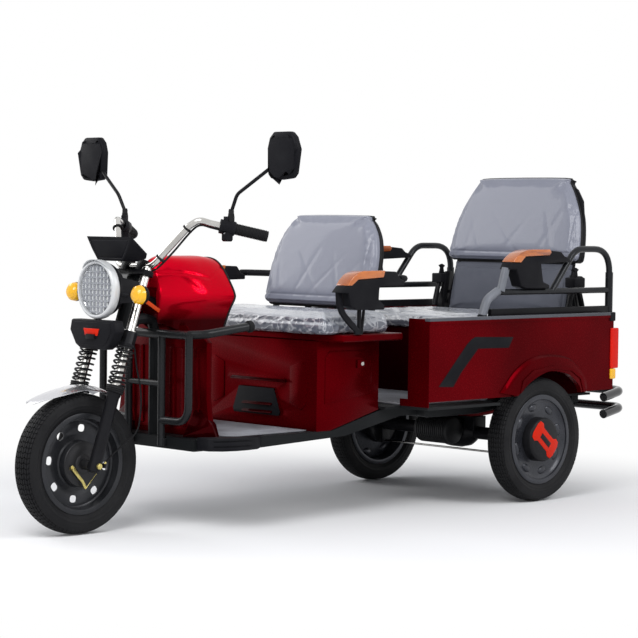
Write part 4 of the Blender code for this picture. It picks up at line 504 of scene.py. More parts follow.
def along(shift):
    """A place on the leaning fork, with local Z up its legs."""
    return lean @ Matrix.Translation(shift)


def axle_wise(x, y=0, z=0):
    """A place on the leaning fork, with local Z along the axle."""
    return lean @ frame_at((x, y, z), (1, 0, 0))


def stub(radius, depth, corners=32, width=0.001):
    """A short round or six-sided bar along Z about the origin, with rounded rims."""
    bpy.ops.mesh.primitive_cylinder_add(vertices=corners, radius=radius, depth=depth)
    return eased(bpy.context.object, width)


for side, word in sides:
    x = side * leg_x
    obj = spun(leg, (0, 0, 0), (0, 0, 1), 40)
    obj.matrix_world = along((x, 0, 0))
    settled(obj, "fork_leg_" + word, black_enamel, "fork_lower", "fork_legs")
    obj = spun(boot, (0, 0, 0), (0, 0, 1), 40, ring=True)
    obj.matrix_world = along((x, 0, 0))
    settled(obj, "dust_ring_" + word, soft_rubber, "fork_lower", angle=60)
    route = []
    for index in range(coils * ring_points + 1):
        share_up = index / (coils * ring_points)
        height = share_up - bunching * math.sin(2 * math.pi * share_up)
        spin = 2 * math.pi * index / ring_points
        route.append((x + coil_radius * math.cos(spin), coil_radius * math.sin(spin),
                      coil_foot + (coil_top - coil_foot) * height))
    obj = wound(route, wire, 10)
    obj.matrix_world = lean
    settled(obj, "coil_spring_" + word, spring_black, "fork_lower", "fork_spring_" + word, angle=60)
    obj.parent = None
    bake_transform(obj)
    obj = spun([(0, 0.101), (0.0153, 0.101), (0.0157, 0.104), (0.0157, 0.668), (0.014, 0.6705), (0, 0.6705)],
               (0, 0, 0), (0, 0, 1), 40)
    obj.matrix_world = along((x, 0, 0))
    settled(obj, "stanchion_" + word, chrome, "steering")
    for name, height, thick, wide, corners in (("top_nut_", 0.671, 0.007, 0.0125, 6),
                                               ("tube_collar_", 0.453, 0.006, 0.0205, 32)):
        obj = stub(wide, thick, corners)
        obj.matrix_world = along((x, 0, height))
        settled(obj, name + word, chrome, "steering")

obj = cad_copy("fork_upper", 0.0012)
settled(obj, "yokes_and_stem", black_enamel, "steering", "fork_upper")

brake_plate = [(0.0085, 0.0268), (0.024, 0.0268), (0.074, 0.0268), (0.0745, 0.029), (0.0725, 0.0318),
               (0.06, 0.0322), (0.056, 0.0345), (0.032, 0.035), (0.028, 0.0385), (0.018, 0.04), (0.0085, 0.04)]
drum_alloy = finish_of("Cast alloy, black", (0.03, 0.03, 0.032), (0.018, 0.018, 0.02), (0.4, 0.6), metallic=0.6,
                       grain=500, relief=0.2)
obj = spun(brake_plate, (0, 0, 0), (0, 0, 1), 64, ring=True)
obj.matrix_world = axle_wise(0)
settled(obj, "brake_plate", drum_alloy, "fork_lower")
for name, low, high, wide, finish in (("leg_boss", 0.04, 0.076, 0.017, drum_alloy),
                                      ("axle_bar", -0.125, 0.125, 0.0075, zinc_gold)):
    obj = stub(wide, high - low)
    obj.matrix_world = axle_wise((low + high) / 2)
    settled(obj, name, finish, "fork_lower")
for side, word in sides:
    obj = stub(0.0105, 0.0085, 6, 0.0012)
    obj.matrix_world = axle_wise(side * 0.1185)
    settled(obj, "axle_nut_" + word, zinc_gold, "fork_lower")

cam_lever = [(-0.05, -0.016), (-0.044, -0.0165), (-0.012, -0.0385), (0.008, -0.049), (0.03, -0.068),
             (0.0296, -0.0745), (0.025, -0.0768), (0.004, -0.059), (-0.019, -0.047), (-0.053, -0.027),
             (-0.0545, -0.0205)]
turn_in = Matrix(((0, 0, 1, 0), (1, 0, 0, 0), (0, 1, 0, 0), (0, 0, 0, 1)))
obj = slab(cam_lever, 0.004, 0.0428)
eased(obj, 0.0012)
obj.matrix_world = lean @ turn_in
settled(obj, "brake_cam_lever", zinc_gold, "fork_lower")
for name, spot, wide, low, high, corners in (("cam_bolt_1", (-0.0441, -0.0257), 0.0066, 0.03, 0.0505, 6),
                                             ("cam_bolt_2", (0.025, -0.0715), 0.0042, 0.0385, 0.047, 20)):
    obj = stub(wide, high - low, corners, 0.0008)
    obj.matrix_world = axle_wise((low + high) / 2, *spot)
    settled(obj, name, zinc_gold, "fork_lower")


# Mudguard: a crowned steel blade over the front wheel, flared forward to a thin tip, on two side ears.
# Pressed from bright sheet with a rolled hem.
bright_sheet = finish_of("Bright sheet", (0.8, 0.8, 0.82), (0.64, 0.64, 0.67), (0.14, 0.26), metallic=0.92, patch=5,
                         grain=260, relief=0.03)


def mudguard_point(share_round, share_across):
    """A place on the blade, which flares and narrows towards its front tip."""
    rear, front, flare_from = math.radians(64), math.radians(133), math.radians(100)
    crest, crown, half_width, taper_from = 0.256, 0.016, 0.049, 0.62
    angle = rear + (front - rear) * share_round
    flare = max(0.0, (angle - flare_from) / (front - flare_from))
    off_middle = 2 * share_across - 1
    radius = crest + 0.034 * flare ** 2 - (crown - 0.004 * flare) * off_middle ** 2
    width = half_width * (1 - 0.62 * max(0.0, (share_round - taper_from) / (1 - taper_from)) ** 2)
    return at(width * off_middle, radius * math.cos(angle), wheel_radius + radius * math.sin(angle))


def mapped_grid(rows, columns, where):
    """A grid primitive whose points are laid on a curved form, row by row."""
    bpy.ops.mesh.primitive_grid_add(x_subdivisions=columns, y_subdivisions=rows, size=2)
    obj = bpy.context.object
    for vertex in obj.data.vertices:
        vertex.co = where((vertex.co.y + 1) / 2, (vertex.co.x + 1) / 2)
    return edited(obj)


def lump(size, width, lay):
    """A small box with rounded edges, laid in place by a matrix."""
    bpy.ops.mesh.primitive_cube_add(size=1)
    obj = bpy.context.object
    obj.scale = size
    only(obj)
    bpy.ops.object.transform_apply(scale=True)
    changed(obj, "BEVEL", width=width, segments=2)
    obj.matrix_world = lay
    return obj


obj = mapped_grid(44, 16, mudguard_point)
changed(obj, "SOLIDIFY", thickness=0.0022, offset=0)
eased(obj, 0.0007, angle=50)
settled(obj, "mudguard_blade", bright_sheet, "fork_lower", "front_fender")
for side, word in sides:
    obj = lump((0.027, 0.024, 0.006), 0.0015, along((side * 0.059, 0, 0.239)))
    settled(obj, "mudguard_ear_" + word, black_enamel, "fork_lower")


# Brake cable: a black sheathed cable from the cam lever, back past the leg and up to the lower yoke,
# with a bare inner wire and a brass-coloured adjuster at its lower end.
def smooth_path(knots, steps):
    """Points on a smooth curve through the knots."""
    knots = [Vector(knot) for knot in knots]
    ends = [knots[0] * 2 - knots[1]] + knots + [knots[-1] * 2 - knots[-2]]
    route = []
    for a, b, c, d in zip(ends, ends[1:], ends[2:], ends[3:]):
        for step in range(steps):
            t = step / steps
            route.append(0.5 * (2 * b + (c - a) * t + (2 * a - 5 * b + 4 * c - d) * t ** 2
                                + (3 * b - a - 3 * c + d) * t ** 3))
    return route + [knots[-1]]


cable_end = lean @ Vector((0.0503, 0.025, -0.0715))
cable_top = lean @ Vector((0.04, 0.065, 0.428))
sheath_foot, sheath_loop = at(0.053, 0.0673, 0.2228), at(0.041, 0.206, 0.6)
sheath = [sheath_foot, at(0.055, 0.105, 0.256), at(0.058, 0.15, 0.288), at(0.06, 0.199, 0.323),
          at(0.058, 0.217, 0.367), at(0.052, 0.226, 0.45), at(0.045, 0.212, 0.54), sheath_loop, cable_top]
obj = wound(smooth_path(sheath, 8), 0.0028, 12)
settled(obj, "brake_cable_sheath", soft_rubber, "fork_lower", "front_brake_cable", angle=60)
obj.parent = None
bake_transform(obj)
obj = wound([cable_end, at(0.0506, 0.034, 0.19), sheath_foot], 0.0011, 8)
settled(obj, "brake_inner_wire", zinc_gold, "fork_lower", angle=60)
obj = stub(0.0046, 0.022, 24, 0.0008)
obj.matrix_world = frame_at(at(0.053, 0.07, 0.2255), (0.02, 0.75, 0.66))
settled(obj, "cable_adjuster", zinc_gold, "fork_lower")
obj = lump((0.026, 0.008, 0.014), 0.0015, along((0.064, 0.056, 0.012)))
settled(obj, "cable_bracket", black_enamel, "fork_lower")


# Headlamp: a round lamp in a black bucket with a silver ring and a short brow, a clear domed lens,
# and a bright dish of square cells, each with its own light-emitting diode.
lamp_at, ahead = at(0, 0.1, 0.795), (0, -1, 0)
silver_plastic = finish_of("Silver plastic", (0.66, 0.67, 0.68), (0.58, 0.59, 0.6), (0.32, 0.46), metallic=0.2,
                           coat=0.05, grain=500, shine=0.15)
black_plastic = finish_of("Black moulded plastic", (0.013, 0.013, 0.015), (0.007, 0.007, 0.009), (0.34, 0.5),
                          patch=7, grain=900, relief=0.12, shine=0.05)
mirror_plating = finish_of("Bright reflector", (0.86, 0.87, 0.88), (0.76, 0.77, 0.79), (0.1, 0.2), metallic=0.9,
                           grain=200)
cell_wall = finish_of("Shaded cell wall", (0.42, 0.43, 0.46), (0.26, 0.27, 0.3), (0.2, 0.34), metallic=0.3, grain=200)
diode = finish_of("Diode cell", (0.95, 0.95, 0.9), (0.86, 0.88, 0.86), (0.12, 0.25), grain=300)


def see_through(material, least, most):
    """Lets a clear moulding show what is behind it, less so where it is seen at a slant."""
    tree = material.node_tree
    slant = node_of(tree, "LayerWeight", Blend=0.35)
    tree.links.new(ranged(tree, slant.outputs["Facing"], least, most, 0.0, 1.0),
                   tree.nodes["Principled BSDF"].inputs["Alpha"])
    return material


def two_toned(obj, plain, chosen):
    """Leaves edit mode and gives the faces that are selected there the second material."""
    bpy.ops.object.mode_set(mode="OBJECT")
    for material in (plain, chosen):
        obj.data.materials.append(material)
    for face in obj.data.polygons:
        face.material_index = 1 if face.select else 0


clear_plastic = see_through(finish_of("Clear lens plastic", (0.9, 0.92, 0.94), (0.84, 0.87, 0.9), (0.03, 0.07),
                                      grain=120, relief=0.02, shine=0.15), 0.02, 0.2)
bucket = [(0, 0.0062), (0.09, 0.0062), (0.0902, 0.0055), (0.0902, -0.004), (0.0885, -0.013), (0.0845, -0.0225),
          (0.077, -0.034), (0.067, -0.044), (0.054, -0.0515), (0.038, -0.0565), (0.02, -0.0598), (0, -0.061)]
settled(spun(bucket, lamp_at, ahead, 64), "lamp_bucket", black_plastic, "steering", "headlight_bucket")
ring = [(0.0905, 0.0), (0.094, 0.0008), (0.0964, 0.004), (0.0975, 0.009), (0.0975, 0.0185), (0.0966, 0.0235),
        (0.0943, 0.028), (0.0906, 0.0306), (0.0872, 0.031), (0.085, 0.0295), (0.0843, 0.0262), (0.0843, 0.0205),
        (0.0905, 0.0205)]
settled(spun(ring, lamp_at, ahead, 72, ring=True), "lamp_ring", silver_plastic, "steering", "headlight_bezel")
glass = [(0, 0.0355), (0.018, 0.0351), (0.036, 0.0339), (0.054, 0.0318), (0.069, 0.0286), (0.08, 0.0252),
         (0.0836, 0.0232), (0.0839, 0.0206), (0.0822, 0.0206), (0.0816, 0.0222), (0.078, 0.0236), (0.067, 0.0271),
         (0.052, 0.0304), (0.035, 0.0324), (0.017, 0.0336), (0, 0.0339)]
settled(spun(glass, lamp_at, ahead, 64), "lamp_lens", clear_plastic, "steering", "headlight_lens")
dish = [(0.0836, 0.0204), (0.0836, 0.018), (0.079, 0.012), (0.07, 0.0092), (0, 0.0082), (0, 0.0066),
        (0.0842, 0.0066), (0.0842, 0.0204)]
settled(spun(dish, lamp_at, ahead, 64), "lamp_dish", mirror_plating, "steering")
bpy.ops.mesh.primitive_grid_add(x_subdivisions=8, y_subdivisions=8, size=0.152)
cells = bpy.context.object
cells.matrix_world = frame_at(lamp_at, ahead) @ Matrix.Translation((0, 0, 0.0215))
only(cells)
bpy.ops.object.transform_apply(location=True, rotation=True)
faces_where(cells, lambda centre, normal: (centre - lamp_at).xz.length > 0.074)
bpy.ops.mesh.delete(type="FACE")
bpy.ops.mesh.select_all(action="SELECT")
bpy.ops.mesh.inset(thickness=0.0011, use_individual=True)
bpy.ops.mesh.inset(thickness=0.003, depth=-0.0075, use_individual=True)
two_toned(cells, cell_wall, diode)
changed(cells, "SOLIDIFY", thickness=0.0008, offset=-1)
settled(cells, "lamp_cells", None, "steering")


def brow_point(share_round, share_out):
    """A place on the short hood over the lamp's ring, longest in its middle."""
    start, sweep, ring_radius, foot, length = 38, 104, 0.0968, 0.016, 0.024
    angle = math.radians(start + sweep * share_round)
    edge = math.sin(math.pi * share_round) ** 0.5
    radius = ring_radius + 0.0012 * share_out
    return lamp_at + Vector((radius * math.cos(angle), -foot - length * share_out * edge, radius * math.sin(angle)))


brow = mapped_grid(36, 6, brow_point)
changed(brow, "SOLIDIFY", thickness=0.002, offset=0)
eased(brow, 0.0006, angle=50)
settled(brow, "lamp_brow", silver_plastic, "steering")


# Instrument hood: a black wedge over the lamp with a framed front panel, and on the face that looks
# back at the driver a dark glossy display behind its own frame. Moulded plastic.
hood_points = []
for x in (-1, 1):
    hood_points += [at(x * 0.117, 0.127, 0.968), at(x * 0.105, 0.203, 0.913), at(x * 0.112, 0.129, 0.957),
                    at(x * 0.102, 0.201, 0.897), at(x * 0.09, 0.131, 0.922), at(x * 0.065, 0.134, 0.888),
                    at(x * 0.072, 0.19, 0.887)]
hood = new_mesh("hood", hood_points)
edited(hood, bpy.ops.mesh.convex_hull, partial(bpy.ops.mesh.dissolve_limited, angle_limit=math.radians(1.5)))
faces_where(hood, lambda centre, normal: normal.y < -0.8 and centre.z < 0.95)
bpy.ops.mesh.inset(thickness=0.008)
bpy.ops.mesh.inset(thickness=0.0014, depth=-0.0014)
bpy.ops.mesh.inset(thickness=0.003, depth=0.0)
bpy.ops.mesh.inset(thickness=0.0012, depth=0.0012)
faces_where(hood, lambda centre, normal: normal.y > 0.4 and normal.z > 0.4)
bpy.ops.mesh.inset(thickness=0.013)
bpy.ops.mesh.inset(thickness=0.0016, depth=-0.003)
display = finish_of("Dark display glass", (0.012, 0.014, 0.016), (0.006, 0.007, 0.009), (0.04, 0.08), coat=1.0,
                    relief=0.01)
two_toned(hood, black_plastic, display)
eased(hood, 0.0022, 3, 24, use_clamp_overlap=True)
settled(hood, "instrument_hood", None, "steering", "dash_hood")


# Beak: a black six-sided cover before the lower yoke, with a raised middle panel and a bare red badge.
# Moulded plastic, clipped to the fork.
def fronted(outline, thick, base, width, segments=2, angle=40):
    """A front view outline (x, height) given its thickness towards the front, with rounded edges."""
    obj = eased(slab(outline, thick, base), width, segments, angle)
    obj.matrix_world = frame_at(at(0, 0, 0), ahead)
    return obj


beak = cad_copy("beak_cover", 0.001)
solid_face, shell_face, squeeze = -1.023, -1.008, 0.8
for vertex in beak.data.vertices:
    vertex.co.y = shell_face + (vertex.co.y - solid_face) * squeeze
settled(beak, "beak_shell", black_plastic, "steering", "beak_cover")
for name, outline, thick, base, finish in (
        ("beak_panel", [(-0.092, 0.688), (0.092, 0.688), (0.1, 0.661), (0.075, 0.624), (0.055, 0.613),
                        (-0.055, 0.613), (-0.075, 0.624), (-0.1, 0.661)], 0.0022, -0.06, black_plastic),
        ("beak_badge", [(-0.04, 0.668), (0.04, 0.668), (0.032, 0.645), (-0.032, 0.645)], 0.005, -0.0598, badge_red)):
    settled(fronted(outline, thick, base, 0.0012, 3), name, finish, "steering")


# Turn signals: amber round lenses with pressed rings in black cups, on flat stalks from the lamp ears.
# A small orange reflector sits on the left ear.
amber_plastic = finish_of("Amber lens", (0.92, 0.5, 0.012), (0.86, 0.42, 0.008), (0.12, 0.24), coat=0.3, grain=260)
for side, word in sides:
    spot = at(side * 0.169, 0.126, 0.782)
    dome = [(0, 0.032), (0.006, 0.0316), (0.012, 0.0303), (0.017, 0.0283), (0.0195, 0.028), (0.0225, 0.025),
            (0.0268, 0.0208), (0.0283, 0.0198), (0.0305, 0.012), (0.0317, 0.005), (0.03, 0.004), (0, 0.0036)]
    settled(spun(dome, spot, ahead, 48), "signal_lens_" + word, amber_plastic, "steering", "turn_signal_" + word)
    cup = [(0, 0.0034), (0.0318, 0.0034), (0.0322, 0.001), (0.0312, -0.005), (0.0275, -0.0125), (0.02, -0.0185),
           (0.011, -0.0212), (0, -0.022)]
    settled(spun(cup, spot, ahead, 48), "signal_cup_" + word, black_plastic, "steering")
tag = lump((0.004, 0.066, 0.013), 0.0014,
           Matrix.Translation(at(0.115, 0.22, 0.742)) @ Matrix.Rotation(math.radians(-30), 4, "X"))
reflector_orange = finish_of("Orange reflector", (0.62, 0.07, 0.01), (0.5, 0.05, 0.008), (0.2, 0.32),
                             grain=260, shine=0.1)
settled(tag, "side_reflector", reflector_orange, "steering")


# Handlebar: one chromed tube bent up and back from the clamps, with two black wires strapped below it.
# The wires run from the switch blocks down to the clamps.
def filleted(corners, bend, steps=8):
    """A route whose inner corners are rounded to a bend."""
    corners = [Vector(corner) for corner in corners]
    route = [corners[0]]
    for before, here, after in zip(corners, corners[1:], corners[2:]):
        into, out = here - before, after - here
        reach = min(bend * math.tan(into.angle(out) / 2), into.length * 0.48, out.length * 0.48)
        start, end = here - into.normalized() * reach, here + out.normalized() * reach
        for step in range(steps + 1):
            t = step / steps
            route.append(start.lerp(here, t).lerp(here.lerp(end, t), t))
    return route + [corners[-1]]


def tube(corners, radius, bend=0.0, facets=20):
    """A round tube through corners, bent there if a bend is given."""
    return wound(filleted(corners, bend) if bend else [Vector(corner) for corner in corners], radius, facets)


clamp = lean @ Vector((0, 0.0245, 0.6835))
straight = clamp + Vector((0.232, 0.1219, 0.1456))
bar_end = clamp + Vector((0.348, 0.2759, 0.103))
along_bar = (bar_end - straight).normalized()
slid_out = along_bar * 0.022
housing_start = straight + along_bar * 0.03 + slid_out
grip_start = housing_start + along_bar * 0.03
half_bar = [clamp + Vector((0.086, 0, 0)), clamp + Vector((0.186, 0.074, 0.136)),
            clamp + Vector((0.213, 0.092, 0.156)), straight, grip_start + along_bar * 0.11]
flip = Vector((-1, 1, 1))
bar = tube([spot * flip for spot in reversed(half_bar)] + half_bar, 0.011, 0.045, 24)
settled(bar, "chrome_bar", chrome, "steering", "handlebar", angle=60)
for side, word in sides:
    turn_over = Vector((side, 1, 1))
    below = [clamp + Vector((0.052, 0.012, -0.03)), clamp + Vector((0.07, 0.006, -0.017)),
             clamp + Vector((0.102, 0.014, -0.002)), clamp + Vector((0.14, 0.046, 0.05)),
             clamp + Vector((0.186, 0.08, 0.116)), clamp + Vector((0.212, 0.098, 0.138)),
             straight + Vector((0.002, 0.006, -0.015)), housing_start + Vector((0, 0, -0.0145))]
    wire_route = [spot * turn_over for spot in smooth_path(below, 6)]
    settled(wound(wire_route, 0.0036, 10), "bar_wire_" + word, soft_rubber, "steering", angle=60)
    for index, share_up in enumerate((0.22, 0.94)):
        middle = (half_bar[0].lerp(half_bar[1], share_up) + Vector((0, 0.001, -0.003))) * turn_over
        direction = (half_bar[1] - half_bar[0]) * turn_over
        loop = [(0.0118, -0.003), (0.0172, -0.003), (0.0178, -0.002), (0.0178, 0.002), (0.0172, 0.003),
                (0.0118, 0.003)]
        settled(spun(loop, middle, direction, 28, ring=True), "wire_strap_%s_%d" % (word, index + 1), soft_rubber,
                "steering")


# Grips and switch blocks: ribbed rubber grips beside black clamp-on blocks with small push buttons.
# The right grip is the twist throttle.
def grip_profile():
    """The grip's section: a flange, twenty ribs and a closed end."""
    line = [(0.0125, 0.0), (0.0205, 0.0), (0.022, 0.0012), (0.022, 0.004), (0.02, 0.0052)]
    for rib in range(20):
        start = 0.0065 + rib * 0.0051
        line += [(0.0176, start), (0.0192, start + 0.0009), (0.0192, start + 0.0029), (0.0176, start + 0.0038)]
    return line + [(0.0176, 0.1108), (0.0186, 0.1118), (0.017, 0.1141), (0, 0.1143), (0, 0.1113), (0.0125, 0.1113)]


button_grey = finish_of("Grey button", (0.3, 0.3, 0.31), (0.22, 0.22, 0.23), (0.35, 0.5), grain=600)
button_blue = finish_of("Blue button", (0.02, 0.1, 0.42), (0.015, 0.07, 0.34), (0.28, 0.4), grain=600)
button_red = finish_of("Red button", (0.55, 0.02, 0.015), (0.42, 0.015, 0.012), (0.28, 0.4), grain=600)
for side, word, node, body in ((1, "left", "left_grip", "steering"), (-1, "right", "throttle_grip", "throttle")):
    turn_over = Vector((side, 1, 1))
    grip = spun(grip_profile(), grip_start * turn_over, along_bar * turn_over, 36, ring=True)
    settled(grip, "ribbed_grip_" + word, soft_rubber, body, node)
    housing = cad_copy("switch_housing_" + word, 0.006, 4)
    middle = housing_start + along_bar * 0.007
    pivot = middle * turn_over
    housing.data.transform(Matrix.Translation((along_bar * 0.006 + Vector((0, 0, -0.003))) * turn_over))
    housing.data.transform(Matrix.Translation(pivot) @ Matrix.Scale(1.12, 4) @ Matrix.Translation(-pivot))
    settled(housing, "switch_block_" + word, black_plastic, "steering", "switch_housing_" + word)
    for index, (drop, finish) in enumerate(((-0.012, button_grey), (-0.024, button_blue if side < 0 else button_red),
                                            (-0.034, button_grey))):
        stud = spun([(0, 0.0165), (0.0034, 0.0165), (0.004, 0.016), (0.0042, 0.012), (0, 0.012)],
                    (middle + Vector((0, 0, drop))) * turn_over, (0, 1, 0), 20)
        settled(stud, "button_%s_%d" % (word, index + 1), finish, "steering")
    front = spun([(0, 0.0166), (0.0044, 0.0166), (0.0052, 0.0158), (0.0054, 0.012), (0, 0.012)],
                 (middle + Vector((0.002, 0, -0.018))) * turn_over, (0, -1, 0), 24)
    settled(front, "front_button_" + word, button_blue if side < 0 else button_grey, "steering")


# Mirrors: six-sided shells with crowned black backs and silvered glass, on bent stalks that rise from
# rubber boots on the switch blocks.
silvered = finish_of("Silvered glass", (0.86, 0.88, 0.89), (0.8, 0.83, 0.85), (0.02, 0.04), metallic=1.0, relief=0.0)
foot = housing_start + along_bar * 0.02 + Vector((0, 0, 0.0323))
knee = foot + Vector((0.0444, 0.0137, 0.0736)) - slid_out
neck = foot + Vector((0.2084, 0.0387, 0.1726)) - slid_out
corners = [(-0.049, 0.05), (-0.039, 0.084), (-0.021, 0.103), (0.057, 0.103), (0.076, 0.086), (0.092, 0.046),
           (0.079, -0.032), (0.065, -0.047), (0.014, -0.052), (-0.032, -0.047), (-0.045, -0.034)]
stalk = tube([foot + Vector((0, 0, 0.004)), foot + Vector((0.002, 0, 0.024)), knee, neck + Vector((0, 0.01, 0.01))],
             0.006, 0.05, 16)


def pair(obj, name, material, body, *stands_for, angle=35):
    """Settles a left-hand piece and its mirrored twin, each with its own mesh."""
    only(obj)
    bpy.ops.object.transform_apply(location=True, rotation=True, scale=True)
    bpy.ops.object.duplicate()
    other = bpy.context.object
    other.data.transform(Matrix.Scale(-1, 4, (1, 0, 0)))
    other.data.flip_normals()
    for piece, word in ((obj, "left"), (other, "right")):
        settled(piece, name + "_" + word, material, body.format(word), *(node.format(word) for node in stands_for),
                angle=angle)
    return obj, other


pair(stalk, "mirror_stalk", black_enamel, "mirror_{}", "mirror_{}", angle=60)
boot = [(0.005, -0.012), (0.0112, -0.012), (0.0114, 0.006), (0.0102, 0.0075), (0.011, 0.009), (0.0098, 0.0115),
        (0.0104, 0.014), (0.009, 0.017), (0.0094, 0.023), (0.0078, 0.03), (0.006, 0.0305)]
pair(spun(boot, foot, (0, 0, 1), 28, ring=True), "mirror_boot", soft_rubber, "mirror_{}")
shell = slab(corners, 0.026, -0.024)
eased(shell, 0.007, 4)
faces_where(shell, lambda centre, normal: normal.z > 0.95 and centre.z > 0.0)
for wide, rise in ((0.006, 0.0008), (0.01, 0.0007), (0.012, 0.0004)):
    bpy.ops.mesh.inset(thickness=wide, depth=rise)
faces_where(shell, lambda centre, normal: normal.z < -0.95 and centre.z < -0.02)
bpy.ops.mesh.inset(thickness=0.002)
bpy.ops.mesh.inset(thickness=0.0008, depth=-0.0012)
two_toned(shell, black_plastic, silvered)
shell.matrix_world = frame_at(neck, ahead)
pair(shell, "mirror_shell", None, "mirror_{}")


# Frame: square rails, cross members and floor sheets welded to the head tube, in dark grey paint. The
# rubber mats lie on the two floors; the brake pedal stands on its lugs at the driver's right foot.
frame_paint = finish_of("Dark frame paint", (0.017, 0.018, 0.019), (0.01, 0.011, 0.012), (0.32, 0.5), metallic=0.1,
                        patch=3, grain=200, shine=0.06)


def dressed(node, material):
    """Gives a CAD node that keeps its own shape its finish."""
    for slot in nodes[node].material_slots:
        slot.material = material


dressed("main_frame", frame_paint)
settled(cad_copy("brake_pedal", 0.001), "foot_brake", black_enamel, "brake_pedal", "brake_pedal")
mat_rubber = finish_of("Floor mat", (0.3, 0.31, 0.34), (0.2, 0.205, 0.225), (0.35, 0.6), patch=9, grain=300,
                       relief=0.3)
rib_foot, rib_top, rib_rise, mat_thick = 0.0045, 0.003, 0.0016, 0.0045
for name, outline, low, ribs in (
        ("front_mat", [(-0.215, 0.425), (0.215, 0.425), (0.262, 0.47), (0.262, 0.785), (-0.262, 0.785),
                       (-0.262, 0.47)], 0.3083, 18),
        ("rear_mat", [(-0.365, 1.2), (0.365, 1.2), (0.365, 1.59), (0.34, 1.64), (-0.34, 1.64),
                      (-0.365, 1.59)], 0.3803, 24)):
    outline = [(x, back - front_axle) for x, back in outline]
    settled(eased(slab(outline, mat_thick, low), 0.0012), name, mat_rubber, "chassis")
    near, far = min(y for x, y in outline) + 0.02, max(y for x, y in outline) - 0.02
    reach = abs(outline[-1][0]) - 0.012
    strips = []
    for rib in range(ribs):
        x = (2 * (rib + 0.5) / ribs - 1) * reach
        start = near + (0.04 * max(0.0, abs(x) - 0.19) / 0.05 if name == "front_mat" else 0.0)
        strips.append(slab([(x - rib_foot, start), (x + rib_foot, start), (x + rib_top, far), (x - rib_top, far)],
                           rib_rise, low + 0.0043))
    for strip in strips:
        strip.select_set(True)
    bpy.ops.object.join()
    settled(eased(bpy.context.object, 0.0006, 1), name + "_ribs", mat_rubber, "chassis")


# Crash guard: round tubes bent round the shield, with a crossbar and two uprights on the front member.
# The upper tube runs back on each side to a mushroom-shaped rubber cap. Black painted steel.
guard_back, guard_top, guard_half, upright_x, hoop_foot = 0.286, 0.648, 0.222, 0.085, 0.362
guard_paint = finish_of("Guard paint", (0.017, 0.018, 0.02), (0.01, 0.011, 0.012), (0.24, 0.38), metallic=0.2,
                        coat=0.05, patch=5, shine=0.15)
knee_end = (0.26, 0.521, 0.674)


def at_all(corners):
    """Points given by their distance back from the front axle."""
    return [at(*corner) for corner in corners]


def twin_tubes(name, corners, radius, material, *stands_for, bend=0.0, facets=20, body="chassis"):
    """A tube on the left and its mirrored twin."""
    return pair(tube(at_all(corners), radius, bend, facets), name, material, body, *stands_for, angle=60)


top_bar = tube(at_all([(-guard_half, guard_back, guard_top), (guard_half, guard_back, guard_top)]), 0.0145, facets=24)
settled(top_bar, "guard_top_bar", guard_paint, "chassis", "front_guard", angle=60)
cross_bar = tube(at_all([(-upright_x, guard_back, 0.483), (upright_x, guard_back, 0.483)]), 0.01)
settled(cross_bar, "guard_cross_bar", guard_paint, "chassis", angle=60)
twin_tubes("guard_upright", [(upright_x, guard_back, guard_top), (upright_x, guard_back, 0.277)], 0.013, guard_paint)
twin_tubes("guard_hoop", [(guard_half, guard_back, guard_top), (guard_half, guard_back, hoop_foot),
                          (upright_x, guard_back, hoop_foot)], 0.013, guard_paint, bend=0.06)
twin_tubes("guard_side_bar", [(0.198, guard_back, guard_top), (0.24, 0.34, 0.651), knee_end], 0.0145, guard_paint,
           bend=0.06, facets=24)
cap = [(0, 0.01), (0.011, 0.0094), (0.0175, 0.007), (0.0203, 0.003), (0.0205, -0.006), (0.0185, -0.01),
       (0.0148, -0.012), (0.0148, -0.004), (0, -0.004)]
pair(spun(cap, at(*knee_end), (0.1, 0.97, 0.12), 36), "guard_cap", soft_rubber, "chassis")
sole = lump((0.03, 0.0176, 0.026), 0.0016, Matrix.Translation(at(upright_x, 0.2908, 0.288)))
pair(sole, "guard_foot", guard_paint, "chassis")


# Leg shield and tank cowl: pressed steel in bright red lacquer. The cowl is one crowned shell over the
# spine, with a soft crease along its shoulder and a black rubber trim round its rear edge.
red_lacquer = finish_of("Red lacquer", (0.6, 0.001, 0.014), (0.5, 0.001, 0.011), (0.12, 0.2), metallic=0.5,
                        coat=0.03, patch=2.5, grain=240, relief=0.02, shine=0.0)
# The same red paint darkened as painted shade, for the upright sheets, the seat lid under the cushion, the springs and
# the tailgate.
red_paint_in_shade = finish_of("Red paint with painted shade", (0.115, 0.0003, 0.0024), (0.06, 0.0002, 0.0014), (0.2, 0.3), metallic=0.5,
                     patch=2.0, grain=240, relief=0.02, shine=0.0)


def darker_below(material, low, high, colour):
    """Paints shade into a finish: its colour darkens towards the ground, as painted shade for the dark reflections and
    shade on the lower flank.
    """
    tree = material.node_tree
    shader = tree.nodes["Principled BSDF"]
    spot, split = node_of(tree, "TexCoord"), node_of(tree, "SeparateXYZ")
    base = shader.inputs["Base Color"].links[0].from_socket
    joined_up(tree, (spot.outputs["Object"], split.inputs[0]),
              (mixed(tree, ranged(tree, split.outputs["Z"], 0.0, 1.0, low, high), colour, base),
               shader.inputs["Base Color"]))
    return material


# Painted shade: below 0.69 m the red lacquer takes the near-black colour, which also darkens the louvres, the box ridge
# and the shield corners.
cowl_red = darker_below(red_lacquer, 0.69, 0.775, (0.035, 0.0003, 0.0012))
settled(cad_copy("leg_shield", 0.0022, 3), "shield_panel", red_paint_in_shade, "chassis", "leg_shield")

